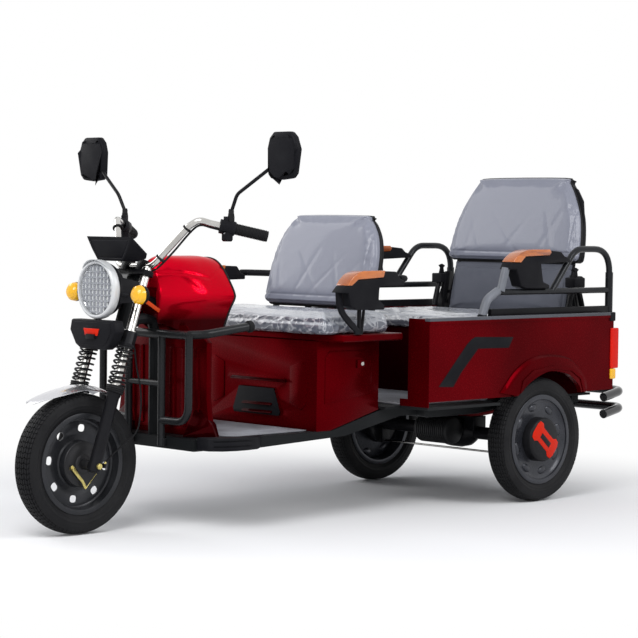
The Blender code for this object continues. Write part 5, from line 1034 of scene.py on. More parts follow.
wing_points = [at(0.174, 0.366, 0.415), at(0.252, 0.362, 0.352), at(0.264, 0.372, 0.309), at(0.156, 0.318, 0.309),
               at(0.174, 0.376, 0.415), at(0.24, 0.392, 0.354), at(0.254, 0.396, 0.309), at(0.138, 0.376, 0.309)]
wing = edited(new_mesh("wing", wing_points), bpy.ops.mesh.convex_hull)
eased(wing, 0.0015, angle=20)
pair(wing, "shield_corner", red_lacquer, "chassis")


cowl_front, cowl_length, cowl_middle, waist = 0.297, 0.272, 0.8, 0.769
waist_half, cowl_crest, cowl_hem = 0.131, 0.905, 0.655


def cowl_half(t):
    """Half the cowl's outline at a share of its length, from its crest down to its hem."""
    half = waist_half * (0.42 + 0.58 * math.sin(math.pi / 2 * min(1.0, t * 1.6 + 0.06)))
    crest = cowl_crest - 0.022 * (1 - min(1.0, t * 5)) ** 2 - 0.008 * max(0.0, (t - 0.72) / 0.28) ** 2
    hem = cowl_hem + 0.03 * max(0.0, 1 - t / 0.3)
    return [(0, crest), (half * 0.34, crest - 0.008), (half * 0.6, crest - 0.034), (half * 0.85, crest - 0.082),
            (half, waist), (half * 0.87, 0.722), (half * 0.74, hem)]


def cowl_line(t):
    """The cowl's outline at a share of its length, smoothed, from the right hem over to the left one."""
    half = cowl_half(t)
    knots = [(-x, 0, z) for x, z in reversed(half[1:])] + [(x, 0, z) for x, z in half]
    return smooth_path(knots, 12)


def cowl_spot(t, point, inward=1.0, shift=0.0):
    """A place on the cowl, drawn in for its rolled ends. Its rear edge leans away above and below the waist."""
    back = cowl_front + cowl_length * t + shift
    back -= t * (0.02 * max(0.0, (waist - point.z) / 0.1) + 0.014 * max(0.0, (point.z - waist) / 0.13))
    return at(point.x * inward, back, cowl_middle + (point.z - cowl_middle) * inward)


cowl_points, cowl_faces, stations = [], [], 56
rows = [(0.0, 0.0, 0.01), (0.0, 0.55, 0.006), (0.0, 0.9, 0.0015)]
rows += [(i / stations, 1.0, 0.0) for i in range(stations + 1)]
rows += [(1.0, 0.93, 0.0015), (1.0, 0.6, -0.001), (1.0, 0.0, -0.002)]
for t, inward, shift in rows:
    cowl_points += [cowl_spot(t, point, inward, -shift if t == 0.0 else shift) for point in cowl_line(t)]
wide = len(cowl_line(0.5))
for row in range(len(rows) - 1):
    for column in range(wide - 1):
        first = row * wide + column
        cowl_faces.append((first, first + 1, first + wide + 1, first + wide))
cowl = new_mesh("cowl", cowl_points, faces=cowl_faces)
edited(cowl, merged(0.0002))
crease_knots = ((0.23, 0.8485), (0.395, 0.847), (0.476, 0.83), (0.548, 0.863), (0.6, 0.89))
crease_deep, crease_wide = 0.0036, 0.0045
for vertex in cowl.data.vertices:
    behind = vertex.co.y + front_axle
    for (y_low, z_low), (y_high, z_high) in zip(crease_knots, crease_knots[1:]):
        if y_low <= behind < y_high and abs(vertex.co.x) > 0.02:
            off = vertex.co.z - z_low - (z_high - z_low) * (behind - y_low) / (y_high - y_low)
            vertex.co.x -= math.copysign(crease_deep * math.exp(-(off / crease_wide) ** 2), vertex.co.x)
changed(cowl, "SOLIDIFY", thickness=0.0026, offset=-1)
bpy.ops.mesh.primitive_cube_add(size=1, location=at(0, 0.312, 0.7))
slot = bpy.context.object
slot.scale = (0.09, 0.066, 0.2)
pierced(cowl, slot)
settled(cowl, "tank_shell", cowl_red, "chassis", "tank_cowl", angle=50)
edge = [cowl_spot(1.0, point, 1.004) for point in cowl_line(1.0)]
settled(wound(edge, 0.0036, 10), "tank_trim", soft_rubber, "chassis", angle=60)

apron = [(-0.15, 0.6), (0.15, 0.6), (0.15, 0.64), (0.12, 0.674), (-0.12, 0.674), (-0.15, 0.64)]
settled(fronted(apron, 0.003, -0.366, 0.001, angle=30), "shield_apron", red_paint_in_shade, "chassis")
for side, word in sides:
    settled(cad_copy("side_step_" + word, 0.0012), "foot_step_" + word, black_plastic, "chassis", "side_step_" + word)


# Seat box: a sheet steel box for the battery, in the red paint darkened as painted shade, with a louvred vent
# in front, raised panels and a latched door on each side. The lid overhangs it and carries the seat.
def block(xs, ys, zs, width):
    """A box between limits with its edges rounded over."""
    bpy.ops.mesh.primitive_cube_add(size=1, location=at(sum(xs) / 2, sum(ys) / 2, sum(zs) / 2))
    obj = bpy.context.object
    obj.scale = (xs[1] - xs[0], ys[1] - ys[0], zs[1] - zs[0])
    only(obj)
    bpy.ops.object.transform_apply(location=True, scale=True)
    return changed(obj, "BEVEL", width=width, segments=4)


def across(outline, low, high, width, segments=3):
    """A side view outline (back, height) given its thickness crosswise, with rounded edges."""
    obj = eased(slab(outline, high - low, low), width, segments, 25)
    obj.matrix_world = Matrix.Translation(at(0, 0, 0)) @ turn_in
    return obj


settled(cad_copy("seat_box", 0.0008), "battery_box", red_paint_in_shade, "chassis", "seat_box")
# Painted shade: a black sheet behind the louvres stands for the shade inside the vent.
vent = [(-0.086, 0.444), (0.094, 0.444), (0.126, 0.364), (0.12, 0.35), (-0.11, 0.35), (-0.116, 0.364)]
settled(fronted(vent, 0.002, -0.7905, 0.0008), "vent_shade_sheet", black_plastic, "chassis")
for name, height in (("vent_louvre_1", 0.389), ("vent_louvre_2", 0.3612)):
    louvre = [(0.79, height + 0.0055), (0.7795, height - 0.003), (0.7795, height - 0.0045),
              (0.79, height - 0.0045)]
    settled(across(louvre, -0.062, 0.087, 0.0006), name, red_lacquer, "chassis")
ridge = [(0.792, 0.48), (0.78, 0.471), (0.78, 0.468), (0.792, 0.468)]
settled(across(ridge, -0.123, 0.154, 0.0008), "box_ridge", red_lacquer, "chassis")
settled(cad_copy("battery_pack", 0.001), "battery_case", black_plastic, "chassis", "battery_pack")
settled(cad_copy("seat_lid", 0.002, 3), "seat_base", red_paint_in_shade, "front_seat", "seat_lid")
latch = spun([(0, 0.0105), (0.006, 0.0105), (0.0072, 0.0096), (0.0074, 0.0085), (0, 0.0085)], at(0.3, 1.01, 0.534),
             (1, 0, 0), 28)
pair(latch, "door_lock", chrome, "chassis")


# Driver's cushion: foam under grey vinyl, still in its loose clear film, crowned on top with sides that
# bulge between tight corners. It is laid on the lid.
def crease_group():
    """Crossing folds of thin film: a height and a mask of the sharp glinting ridges."""
    group, into, out = group_of("Film creases", (("Fold scale", 9.0),), ("Height", "Glints"))
    spot = node_of(group, "TexCoord")
    ridges = []
    for turned, stretch in ((0.0, (1.0, 3.4, 2.2)), (1.3, (2.6, 1.0, 3.0))):
        lay = node_of(group, "Mapping", Rotation=(0.3, 0.4, turned + 0.5), Scale=stretch)
        folds = node_of(group, "TexNoise", Detail=2.0, Distortion=0.15)
        centred, away = node_of(group, "Math", "SUBTRACT"), node_of(group, "Math", "ABSOLUTE")
        centred.inputs[1].default_value = 0.5
        joined_up(group, (spot.outputs["Object"], lay.inputs["Vector"]), (lay.outputs[0], folds.inputs["Vector"]),
                  (into.outputs["Fold scale"], folds.inputs["Scale"]), (folds.outputs["Fac"], centred.inputs[0]),
                  (centred.outputs[0], away.inputs[0]))
        ridges.append(ranged(group, away.outputs[0], 1.0, 0.0, 0.0, 0.12))
    most = node_of(group, "Math", "MAXIMUM")
    joined_up(group, (ridges[0], most.inputs[0]), (ridges[1], most.inputs[1]), (most.outputs[0], out.inputs["Height"]),
              (ranged(group, most.outputs[0], 0.0, 1.0, 0.72, 0.98), out.inputs["Glints"]))
    return group


creases = crease_group()


def filmed(name, light, dark, shaded, gloss, folds, depth, glint, coat=0.7):
    """Vinyl under clear film: the film's folds bump the surface, a painted highlight lightens their ridges towards pale
    grey, and painted shade darkens the flanks.
    """
    material = finish_of(name, light, dark, gloss, coat=coat, patch=6, grain=420, relief=0.05)
    tree = material.node_tree
    shader = tree.nodes["Principled BSDF"]
    film = node_of(tree, "Group")
    film.node_tree = creases
    set_inputs(film, Fold_scale=folds)
    rise = node_of(tree, "Bump", Strength=0.55, Distance=depth)
    base = shader.inputs["Base Color"].links[0].from_socket
    facing, split = node_of(tree, "NewGeometry"), node_of(tree, "SeparateXYZ")
    tree.links.new(facing.outputs["Normal"], split.inputs[0])
    # Painted shade and painted highlight: faces turned away from upward take the shaded colour, and the fold ridges are
    # lightened to pale grey, most on the flanks.
    flank = ranged(tree, split.outputs["Z"], 1.0, 0.0, 0.25, 0.8)
    thin = node_of(tree, "Math", "MULTIPLY")
    shown = ranged(tree, flank, glint * 0.2, glint, 0.0, 1.0)
    joined_up(tree, (film.outputs["Height"], rise.inputs["Height"]), (film.outputs["Glints"], thin.inputs[0]),
              (shown, thin.inputs[1]), (tree.nodes["bump"].outputs["Normal"], rise.inputs["Normal"]),
              (rise.outputs["Normal"], shader.inputs["Normal"]),
              (mixed(tree, thin.outputs[0], mixed(tree, flank, base, shaded), (0.86, 0.87, 0.9)),
               shader.inputs["Base Color"]))
    return material


# The cushion's flanks are darkened as painted shade and its fold ridges carry painted pale glints; the backs get only a
# faint painted shade.
seat_film = filmed("Cushion vinyl in film", (0.5, 0.52, 0.56), (0.42, 0.44, 0.48), (0.105, 0.115, 0.145),
                   (0.2, 0.34), 8.0, 0.003, 0.36)
back_film = filmed("Backrest vinyl in film", (0.225, 0.235, 0.29), (0.195, 0.205, 0.255), (0.215, 0.225, 0.28),
                   (0.3, 0.44), 4.0, 0.0004, 0.0, coat=0.2)


def stuffed(obj, voxel, most, held):
    """Swells a closed form as cloth under pressure, held where it lies flat, no point moving past a limit."""
    changed(obj, "REMESH", mode="VOXEL", voxel_size=voxel * 1.0)
    pins = obj.vertex_groups.new(name="held")
    pins.add([vertex.index for vertex in obj.data.vertices if held(vertex.co)], 1.0, "REPLACE")
    start = [vertex.co.copy() for vertex in obj.data.vertices]
    only(obj)
    cloth = obj.modifiers.new("Cloth", "CLOTH")
    for key, value in (("quality", 5), ("mass", 0.3), ("tension_stiffness", 12), ("compression_stiffness", 12),
                       ("bending_stiffness", 0.6), ("use_pressure", True), ("uniform_pressure_force", 4.0),
                       ("vertex_group_mass", "held")):
        setattr(cloth.settings, key, value)
    cloth.settings.effector_weights.gravity = 0
    cloth.collision_settings.use_collision = False
    for step in range(1, 21):
        bpy.context.scene.frame_set(step)
    bpy.ops.object.modifier_apply(modifier=cloth.name)
    bpy.context.scene.frame_set(1)
    for vertex, first in zip(obj.data.vertices, start):
        move = vertex.co - first
        if move.length > most:
            vertex.co = first + move * (most / move.length)
    changed(obj, "SMOOTH", factor=0.5, iterations=3)
    changed(obj, "SUBSURF", levels=1, render_levels=1)
    return obj


def pressed_in(obj, amount):
    """Moves each point along its normal by what a function of its place gives."""
    normals = [vertex.normal.copy() for vertex in obj.data.vertices]
    for vertex, normal in zip(obj.data.vertices, normals):
        vertex.co += normal * amount(vertex.co, normal)


def film_wrinkles(scale, depth):
    """Two crossing sets of loose folds, weaker on flat faces."""
    def amount(place, normal):
        """How far a point moves out, largest where either noise crosses nought."""
        spot = Vector((place.x * scale, place.y * scale * 1.7, place.z * scale * 1.3))
        fold = 1 - abs(noise.noise(spot + Vector((3, 7, 1)))) * 4
        other = 1 - abs(noise.noise(spot.zxy * 1.6 + Vector((1, 2, 9)))) * 4
        return depth * (max(0.0, fold) ** 2 + 0.6 * max(0.0, other) ** 2) * (1.0 if abs(normal.z) < 0.6 else 0.45)
    return amount


cushion = block((-0.372, 0.372), (0.756, 1.076), (0.643, 0.711), 0.018)
stuffed(cushion, 0.006, 0.009, lambda place: place.z < 0.68)
pressed_in(cushion, film_wrinkles(13, 0.0024))
settled(cushion, "driver_cushion", seat_film, "front_seat", "front_cushion", angle=180)


# Driver's back: a padded back with sloping shoulders, its lower part creased in a fan, in a black shell
# with a rolled edge. Four flat posts hold it, and a bar behind it joins the armrests.
def back_line(half, low, high, shoulder):
    """One seat back's outline from the front, smoothed."""
    side = [(half * 1.0, low), (half * 1.045, low + 0.012)]
    side += [(half * wide, low + (high - low) * rise) for rise, wide in shoulder]
    knots = [(x, z, 0) for x, z in side] + [(-x, z, 0) for x, z in reversed(side)]
    return [(spot.x, spot.y) for spot in smooth_path(knots, 4)]


def back_matrix(front, low, recline):
    """Lays local X and Y on the reclined back's face, with local Z towards the front."""
    hinge = at(0, front, low)
    return Matrix.Translation(hinge) @ Matrix.Rotation(-recline, 4, "X") @ Matrix.Rotation(math.pi / 2, 4, "X")


driver_shoulder = ((0.25, 1.05), (0.53, 1.03), (0.75, 0.945), (0.9, 0.81), (0.97, 0.7), (1.0, 0.62))
bench_shoulder = ((0.18, 1.04), (0.4, 1.005), (0.58, 0.95), (0.8, 0.83), (0.95, 0.715), (1.0, 0.62))


def seat_back(half, high, shoulder, depth, lay, spread):
    """A stuffed pad with a fan of creases below, a seam over its foot and a groove inside its rim."""
    pad = slab(back_line(half - 0.003, 0.004, high - 0.004, shoulder), depth - 0.01, -depth)
    eased(pad, 0.012, 4, 60)
    stuffed(pad, 0.0052, 0.007, lambda place: place.z < -0.024)

    seam_height, rim_inset, line_wide = 0.03, 0.024, 0.004

    def fan(place, normal):
        """How far a point of the front face moves in."""
        if normal.z < 0.3:
            return 0.0
        depth_here, low_part = 0.0, max(0.0, 1 - place.y / (high * 0.62))
        for index, (start, lean_to, wide) in enumerate(spread):
            off = place.x - start - (place.y - 0.02) * lean_to
            depth_here += math.exp(-(off / wide) ** 2) * (0.0012 if index % 2 else 0.0008)
        seam = math.exp(-((place.y - seam_height) / line_wide) ** 2) * 0.0025
        rim = math.exp(-((abs(place.x) - half + rim_inset) / line_wide) ** 2) * 0.0012
        return -depth_here * low_part ** 0.8 - seam - rim
    pressed_in(pad, fan)
    pad.matrix_world = lay
    return pad


recline, back_foot, back_top = math.radians(16), 0.735, 1.062
front_lay = back_matrix(1.048, back_foot, recline)
front_form = (0.253, (back_top - back_foot) / math.cos(recline), driver_shoulder, 0.056)
front_spread = [(-0.17, -0.25, 0.012), (-0.11, 0.55, 0.01), (-0.04, 1.0, 0.012), (0.03, -0.8, 0.01),
                (0.08, 0.9, 0.012), (0.13, -0.4, 0.011), (0.19, 0.35, 0.012)]
pad = seat_back(*front_form, front_lay, front_spread)
settled(pad, "driver_back", back_film, "front_seat", "front_backrest", angle=180)
settled(cad_copy("front_backrest_frame", 0.0012), "driver_back_shell", black_plastic, "front_seat",
        "front_backrest_frame")


def edge_roll(half, high, shoulder, depth, radius, lay, name, body):
    """The black rolled border that runs round the back's rear edge."""
    line = back_line(half - 0.0035, 0.004, high - 0.004, shoulder)
    border = wound([(x, y, -depth + radius) for x, y in line + line[:1]], radius, 12)
    border.matrix_world = lay
    return settled(border, name, soft_rubber, body, angle=60)


edge_roll(*front_form, 0.0055, front_lay, "driver_back_border", "front_seat")


def back_case(half, high, shoulder, depth, thick, lay, name, body):
    """The black moulded case behind a back, as thick as its rolled rim."""
    case = slab(back_line(half - 0.004, 0.003, high - 0.003, shoulder), thick, -depth - thick + 0.004)
    eased(case, 0.007, 3, 60)
    case.matrix_world = lay
    return settled(case, name, black_plastic, body)


back_case(*front_form, 0.016, front_lay, "driver_back_case", "front_seat")


# Armrests: black moulded blocks on bent straps, topped by orange pads with a wood figure.
# The pads are hard plastic, snapped over the blocks.
def wood_figure(name, light, dark):
    """Orange plastic with printed grain that runs along the pad."""
    material = finish_of(name, light, dark, (0.16, 0.28), coat=0.6, patch=14, grain=500, relief=0.04)
    tree = material.node_tree
    shader = tree.nodes["Principled BSDF"]
    spot, lay = node_of(tree, "TexCoord"), node_of(tree, "Mapping", Scale=(60, 5, 40))
    rings = node_of(tree, "TexWave", Scale=1.2, Distortion=5.0, Detail=3.0)
    base = shader.inputs["Base Color"].links[0].from_socket
    joined_up(tree, (spot.outputs["Object"], lay.inputs["Vector"]), (lay.outputs[0], rings.inputs["Vector"]),
              (mixed(tree, ranged(tree, rings.outputs["Fac"], 0.0, 0.75, 0.3, 0.9), base, (0.2, 0.04, 0.006)),
               shader.inputs["Base Color"]))
    return material


orange_wood = wood_figure("Orange wood figure", (0.56, 0.15, 0.02), (0.44, 0.105, 0.013))


front_block = [(0.777, 0.787), (0.8008, 0.81), (0.823, 0.811), (0.859, 0.8305), (0.979, 0.8365), (0.988, 0.859),
               (1.045, 0.857), (1.064, 0.833), (1.086, 0.825), (1.086, 0.808), (0.9627, 0.8058), (0.96, 0.762),
               (0.9877, 0.7411), (0.988, 0.727), (0.8552, 0.728), (0.8239, 0.7418), (0.812, 0.786)]
pair(across(front_block, 0.381, 0.433, 0.004), "driver_armrest", black_plastic, "front_seat", "front_armrest_{}")
front_strap = [(0.7817, 0.79), (0.786, 0.745), (0.801, 0.715), (0.84, 0.677), (0.874, 0.652), (0.874, 0.643),
               (0.902, 0.643), (0.902, 0.654), (0.865, 0.685), (0.8266, 0.7177), (0.808, 0.75), (0.806, 0.79)]
pair(across(front_strap, 0.396, 0.408, 0.003), "driver_arm_strap", black_plastic, "front_seat")
for name, top, low_end, radius in (("driver_arm_rod_1", 0.894, 0.896, 0.0075),
                                   ("driver_arm_rod_2", 0.917, 0.906, 0.005)):
    twin_tubes(name, [(0.402, top, 0.73), (0.402, low_end, 0.643)], radius, black_enamel, facets=16,
               body="front_seat")
front_pad = [(0.802, 0.811), (0.816, 0.829), (0.836, 0.846), (0.856, 0.855), (0.88, 0.86), (0.987, 0.8612),
             (0.979, 0.837), (0.857, 0.8312), (0.826, 0.8108)]
pair(across(front_pad, 0.379, 0.436, 0.003), "driver_arm_pad", orange_wood, "front_seat")


# Cargo body: red sheet sides with flared wheel arches, a dark trim along the top ledge and one plain
# black stripe, a sheet bench between them, and a pressed tailgate on its hinges.
arch_inner = [(1.644, 0.37), (1.65, 0.401), (1.72, 0.448), (1.7934, 0.4773), (1.85, 0.485), (1.9313, 0.4716),
              (1.976, 0.448), (2.0071, 0.4214), (2.018, 0.398), (2.018, 0.37)]
arch_outer = [(1.55, 0.383), (1.565, 0.415), (1.648, 0.492), (1.7361, 0.5332), (1.8399, 0.544), (1.9462, 0.53),
              (2.01, 0.493), (2.052, 0.45), (2.064, 0.41), (2.064, 0.395)]
side_sheet = cad_copy("cargo_side_left")
pierced(side_sheet, across(arch_inner, 0.436, 0.5, 0.0002, 1))
pair(side_sheet, "body_side", red_paint_in_shade, "chassis", "cargo_side_{}")
arch_rows = [smooth_path([(0, y, z) for y, z in line], 6) for line in (arch_inner[1:-1], arch_outer[1:-1])]


def arch_point(share_round, share_across):
    """From the rolled inner edge of the wheel arch out to its step on the side sheet."""
    last = len(arch_rows[0]) - 1
    inner, outer = (row[round(share_round * last)] for row in arch_rows)
    spot = inner.lerp(outer, max(0.0, (share_across - 0.12) / 0.88))
    stand = 0.456 if share_across < 0.05 else 0.4615 if share_across > 0.95 else 0.476 - 0.006 * share_across
    return at(stand, spot.y, spot.z)


lip = mapped_grid(len(arch_rows[0]) - 1, 9, arch_point)
changed(lip, "SOLIDIFY", thickness=0.0018, offset=0)
pair(lip, "arch_lip", red_paint_in_shade, "chassis", angle=40)
# Painted shade: the bench box is the body's red paint made near black, for the shade inside the wheel arches.
bench_shade_red = finish_of("Unlit red paint", (0.022, 0.0004, 0.001), (0.014, 0.0003, 0.0007), (0.4, 0.6), shine=0.0)
dressed("bench_box", bench_shade_red)
trim_grey = finish_of("Grey edge trim", (0.08, 0.084, 0.098), (0.05, 0.053, 0.064), (0.25, 0.4), coat=0.05,
                      patch=3, shine=0.2)
pair(block((0.438, 0.465), (1.185, 2.229), (0.6815, 0.6935), 0.003), "ledge_trim", trim_grey, "chassis")
pair(block((0.44, 0.4662), (2.202, 2.233), (0.66, 0.6945), 0.004), "trim_corner", black_plastic, "chassis")
stripe = [(1.2376, 0.4518), (1.3141, 0.4483), (1.3571, 0.4996), (1.4447, 0.5796), (1.6125, 0.5776),
          (1.6364, 0.6158), (1.4287, 0.6218), (1.408, 0.614), (1.3845, 0.5974), (1.3195, 0.5331)]
pair(across(stripe, 0.4595, 0.4612, 0.0004, 1), "side_stripe", black_plastic, "chassis")
tray = [(1.3, 0.372), (1.3, 0.338), (1.33, 0.33), (1.6, 0.33), (1.66, 0.34), (1.76, 0.344), (1.78, 0.372)]
settled(across(tray, -0.335, 0.335, 0.004), "under_tray", frame_paint, "chassis")
settled(cad_copy("tailgate", 0.0016, 3), "drop_tailgate", red_paint_in_shade, "tailgate", "tailgate")


# Bench cushion and rear back: the same grey vinyl in film. The back's lower half is a darker cloth
# panel on its board, between two black brackets with clamp knobs.
bench = block((-0.378, 0.378), (1.638, 2.098), (0.6285, 0.684), 0.016)
stuffed(bench, 0.0068, 0.008, lambda place: place.z < 0.662)
pressed_in(bench, film_wrinkles(11, 0.0022))
settled(bench, "bench_pad", seat_film, "chassis", "bench_cushion", angle=180)

rear_lay = back_matrix(2.133, 0.889, math.radians(13))
rear_spread = [(-0.24, 0.3, 0.014), (-0.15, -0.5, 0.012), (-0.05, 0.8, 0.014), (0.04, -0.9, 0.012), (0.13, 0.6, 0.014),
               (0.21, -0.3, 0.013)]
rear_form = (0.318, 0.337, bench_shoulder, 0.046)
pad = seat_back(*rear_form, rear_lay, rear_spread)
settled(pad, "bench_back", back_film, "rear_back", "rear_backrest", angle=180)
edge_roll(*rear_form, 0.005, rear_lay, "bench_back_border", "rear_back")
back_case(*rear_form, 0.03, rear_lay, "bench_back_case", "rear_back")
settled(cad_copy("rear_backrest_board", 0.0012), "bench_back_board", black_plastic, "rear_back", "rear_backrest_board")


def weave_on(material, threads, depth):
    """Two crossing thread waves, as on a coarse plain cloth."""
    tree = material.node_tree
    shader = tree.nodes["Principled BSDF"]
    spot = node_of(tree, "TexCoord")
    waves = []
    for direction in ("X", "Z"):
        wave = node_of(tree, "TexWave", Scale=threads, Distortion=0.6)
        wave.bands_direction = direction
        tree.links.new(spot.outputs["Object"], wave.inputs["Vector"])
        waves.append(wave.outputs["Fac"])
    cross, rise = node_of(tree, "Math", "MULTIPLY"), node_of(tree, "Bump", Strength=0.4, Distance=depth)
    joined_up(tree, (waves[0], cross.inputs[0]), (waves[1], cross.inputs[1]), (cross.outputs[0], rise.inputs["Height"]),
              (tree.nodes["bump"].outputs["Normal"], rise.inputs["Normal"]),
              (rise.outputs["Normal"], shader.inputs["Normal"]))
    return material


panel_cloth = weave_on(finish_of("Grey panel cloth", (0.105, 0.112, 0.14), (0.08, 0.086, 0.11), (0.6, 0.8),
                                 patch=6, grain=420, relief=0.1), 160, 0.0006)
panel = slab([(-0.296, -0.207), (0.296, -0.207), (0.3, -0.195), (0.302, -0.004), (-0.302, -0.004), (-0.3, -0.195)],
             0.012, -0.046)
eased(panel, 0.005, 3)
stuffed(panel, 0.005, 0.006, lambda place: place.z < -0.043)
pressed_in(panel, lambda place, normal: -0.003 * math.exp(-((place.y + 0.03) / 0.0035) ** 2)
           - 0.0016 * math.exp(-((abs(place.x) - 0.284) / 0.003) ** 2))
panel.matrix_world = rear_lay
settled(panel, "bench_back_panel", panel_cloth, "rear_back", angle=180)
pair(cad_copy("backrest_hinge_left", 0.0008), "back_bracket", black_enamel, "chassis", "backrest_hinge_{}")
pair(block((0.32, 0.37), (2.1, 2.164), (0.786, 0.824), 0.005), "clamp_block", black_plastic, "chassis")
for name, low_end, high_end in (("bracket_leg_1", 2.09, 2.118), ("bracket_leg_2", 2.184, 2.15)):
    twin_tubes(name, [(0.345, low_end, 0.694), (0.345, high_end, 0.79)], 0.0105, black_enamel, facets=16)
wing = [(2.118, 0.82), (2.126, 0.846), (2.116, 0.856), (2.134, 0.862), (2.15, 0.854), (2.14, 0.846), (2.146, 0.82)]
pair(across(wing, 0.34, 0.35, 0.002), "wing_nut", black_plastic, "chassis")
knob = [(0, 0.047), (0.012, 0.0465), (0.0165, 0.044), (0.0178, 0.04), (0.0175, 0.03), (0.014, 0.0265),
        (0.009, 0.0255), (0.009, 0.006), (0, 0.006)]
pair(spun(knob, at(0.3183, 2.15, 0.812), (1, 0, 0), 32), "bracket_knob", black_plastic, "chassis")


# Side rails and rear armrests: bent round tubes that stand on the body's ledges, in dark grey lacquer,
# with black armrests and orange pads clamped on their upper tube.
rail_grey = finish_of("Dark rail lacquer", (0.02, 0.021, 0.024), (0.012, 0.013, 0.015), (0.2, 0.32), metallic=0.3,
                      coat=0.05, patch=6, shine=0.15)
sleeve_grey = finish_of("Grey sleeve", (0.2, 0.21, 0.24), (0.14, 0.15, 0.17), (0.28, 0.4), coat=0.05, patch=6,
                        shine=0.15)
rail_x, rail_top, foot_back, loop_back, loop_top = 0.41, 0.777, 1.52, 2.259, 0.934
twin_tubes("side_rail", [(rail_x, foot_back, 0.69), (rail_x, 1.546, 0.751), (rail_x, 1.604, rail_top),
                         (rail_x, 2.243, rail_top)], 0.0115, rail_grey, "handrail_{}", bend=0.06, facets=24)
twin_tubes("rear_loop", [(rail_x, 1.912, rail_top), (rail_x, 2.048, loop_top), (rail_x, loop_back, loop_top),
                         (rail_x, loop_back, 0.694)], 0.0122, rail_grey, bend=0.095, facets=24)
twin_tubes("loop_sleeve", [(rail_x, loop_back, 0.693), (rail_x, loop_back, 0.845)], 0.015, rail_grey, facets=24)
twin_tubes("rail_sleeve", [(rail_x, foot_back, 0.693), (rail_x, 1.546, 0.752), (rail_x, 1.604, 0.7815)], 0.0158,
           sleeve_grey, bend=0.06, facets=24)
pair(block((rail_x - 0.009, rail_x + 0.009), (1.56, 2.262), (0.6885, 0.717), 0.0025), "rail_sill", black_enamel,
     "chassis")
foot_disc = [(0, 0.009), (0.012, 0.0088), (0.0135, 0.007), (0.0175, 0.0058), (0.018, 0.0004), (0, 0.0004)]
pair(spun(foot_disc, at(rail_x, foot_back, 0.69), (0, 0, 1), 36), "rail_foot", rail_grey, "chassis")
rear_block = [(1.642, 0.86), (1.656, 0.885), (1.706, 0.884), (1.731, 0.906), (1.868, 0.911), (1.88, 0.929),
              (1.94, 0.924), (1.96, 0.908), (1.992, 0.9), (1.992, 0.886), (1.823, 0.88), (1.837, 0.8133),
              (1.8735, 0.801), (1.8735, 0.788), (1.7407, 0.789), (1.7104, 0.7977), (1.683, 0.86)]
pair(across(rear_block, 0.383, 0.433, 0.004), "bench_armrest", black_plastic, "chassis", "rear_armrest_{}")
twin_tubes("arm_stay", [(rail_x, 1.62, 0.78), (rail_x, 1.648, 0.864)], 0.015, sleeve_grey, facets=24)
rear_pad = [(1.656, 0.887), (1.674, 0.903), (1.7, 0.919), (1.731, 0.929), (1.7688, 0.933), (1.87, 0.9336),
            (1.879, 0.922), (1.868, 0.9115), (1.7304, 0.9069), (1.705, 0.885)]
pair(across(rear_pad, 0.381, 0.436, 0.003), "bench_arm_pad", orange_wood, "chassis")


# Tail lights and bumper: upright lamps with red lenses over an amber foot at the rear corners, and two
# round bars swept forward at their ends, on plates from the frame.
tail_red = finish_of("Tail lens red", (0.72, 0.012, 0.004), (0.6, 0.008, 0.003), (0.14, 0.24), coat=0.05,
                     grain=260, shine=0.1)
for name, rear, low, high, finish, stands in (("tail_lens", 2.255, 0.479, 0.6335, tail_red, ["tail_light_{}"]),
                                              ("tail_signal", 2.24, 0.4385, 0.478, amber_plastic, [])):
    pair(block((0.444, 0.466), (2.208, rear), (low, high), 0.005), name, finish, "chassis", *stands)
bumper_paint = finish_of("Glossy black lacquer", (0.014, 0.014, 0.016), (0.008, 0.008, 0.01), (0.12, 0.22),
                         metallic=0.1, coat=0.6, patch=6)
for name, height, stands in (("upper", 0.385, ["rear_bumper"]), ("lower", 0.32, [])):
    half_line = [(0.33, 2.35, height), (0.412, 2.348, height), (0.42, 2.224, height - 0.02)]
    line = [(-x, y, z) for x, y, z in reversed(half_line)] + half_line
    settled(tube(at_all(line), 0.0172, 0.045, 24), "bumper_bar_" + name, bumper_paint, "chassis", *stands, angle=60)
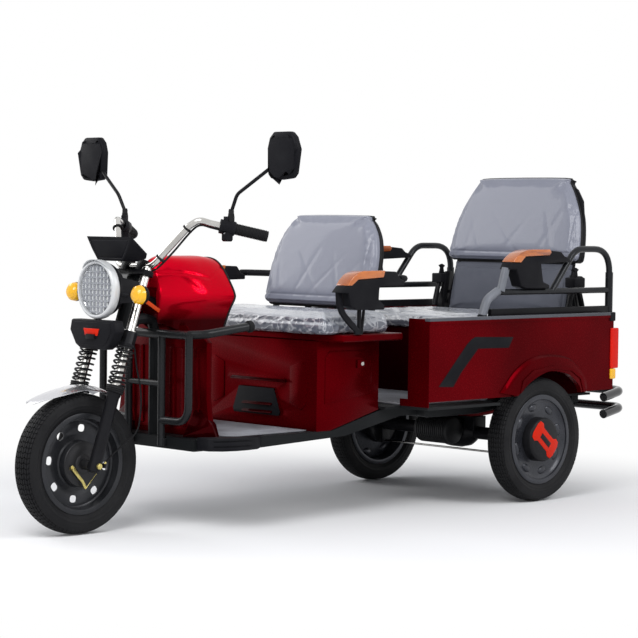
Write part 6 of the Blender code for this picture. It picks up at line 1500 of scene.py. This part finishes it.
pair(block((0.116, 0.124), (2.2303, 2.345), (0.305, 0.382), 0.0012), "bumper_plate", frame_paint, "chassis")


# Rear axle: a steel tube with a gear case and the drive motor, brake drums at its ends and a silver
# brake rod below it, hung on two red leaf springs.
axle_at = at(0, rear_axle, wheel_radius)
half_axle = [(0.024, 0.362), (0.072, 0.362), (0.078, 0.366), (0.078, 0.394), (0.075, 0.398), (0.03, 0.398),
             (0.02, 0.404), (0.012, 0.404), (0.012, 0.439), (0, 0.44)]
gear_case = [(0.024, -0.045), (0.036, -0.041), (0.05, -0.03), (0.058, -0.006), (0.06, 0.012), (0.06, 0.058),
             (0.057, 0.07), (0.052, 0.094), (0.04, 0.112), (0.024, 0.13)]
axle_line = [(radius, -along_axle) for radius, along_axle in reversed(half_axle)] + gear_case + half_axle
settled(spun(axle_line, axle_at, (1, 0, 0), 56), "rear_axle_tube", black_enamel, "rear_axle", "axle_housing", angle=30)
motor = [(0, -0.06), (0.04, -0.06), (0.046, -0.058), (0.05, -0.052)]
for fin in range(14):
    start = -0.046 + fin * 0.0102
    motor += [(0.052, start), (0.052, start + 0.0052), (0.0488, start + 0.0058), (0.0488, start + 0.0096)]
motor += [(0.052, 0.098), (0.05, 0.106), (0.044, 0.11), (0, 0.11)]
settled(spun(motor, at(0, 1.717, 0.242), (1, 0, 0), 48), "drive_motor", drum_alloy, "rear_axle")
rod = tube(at_all([(-0.346, 1.802, 0.165), (0.346, 1.802, 0.165)]), 0.004, facets=16)
settled(rod, "brake_rod", chrome, "rear_axle", angle=60)
pair(block((0.338, 0.35), (1.792, 1.832), (0.157, 0.215), 0.0014), "rod_arm", black_enamel, "rear_axle")
pair(block((0.096, 0.144), (1.787, 1.857), (0.24, 0.2935), 0.002), "spring_pad", black_enamel, "rear_axle")
for side, word in sides:
    leaf = settled(cad_copy("leaf_spring_" + word, 0.001), "leaf_spring_set_" + word, red_paint_in_shade, "chassis",
                   "leaf_spring_" + word)
    leaf.parent = None
    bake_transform(leaf)
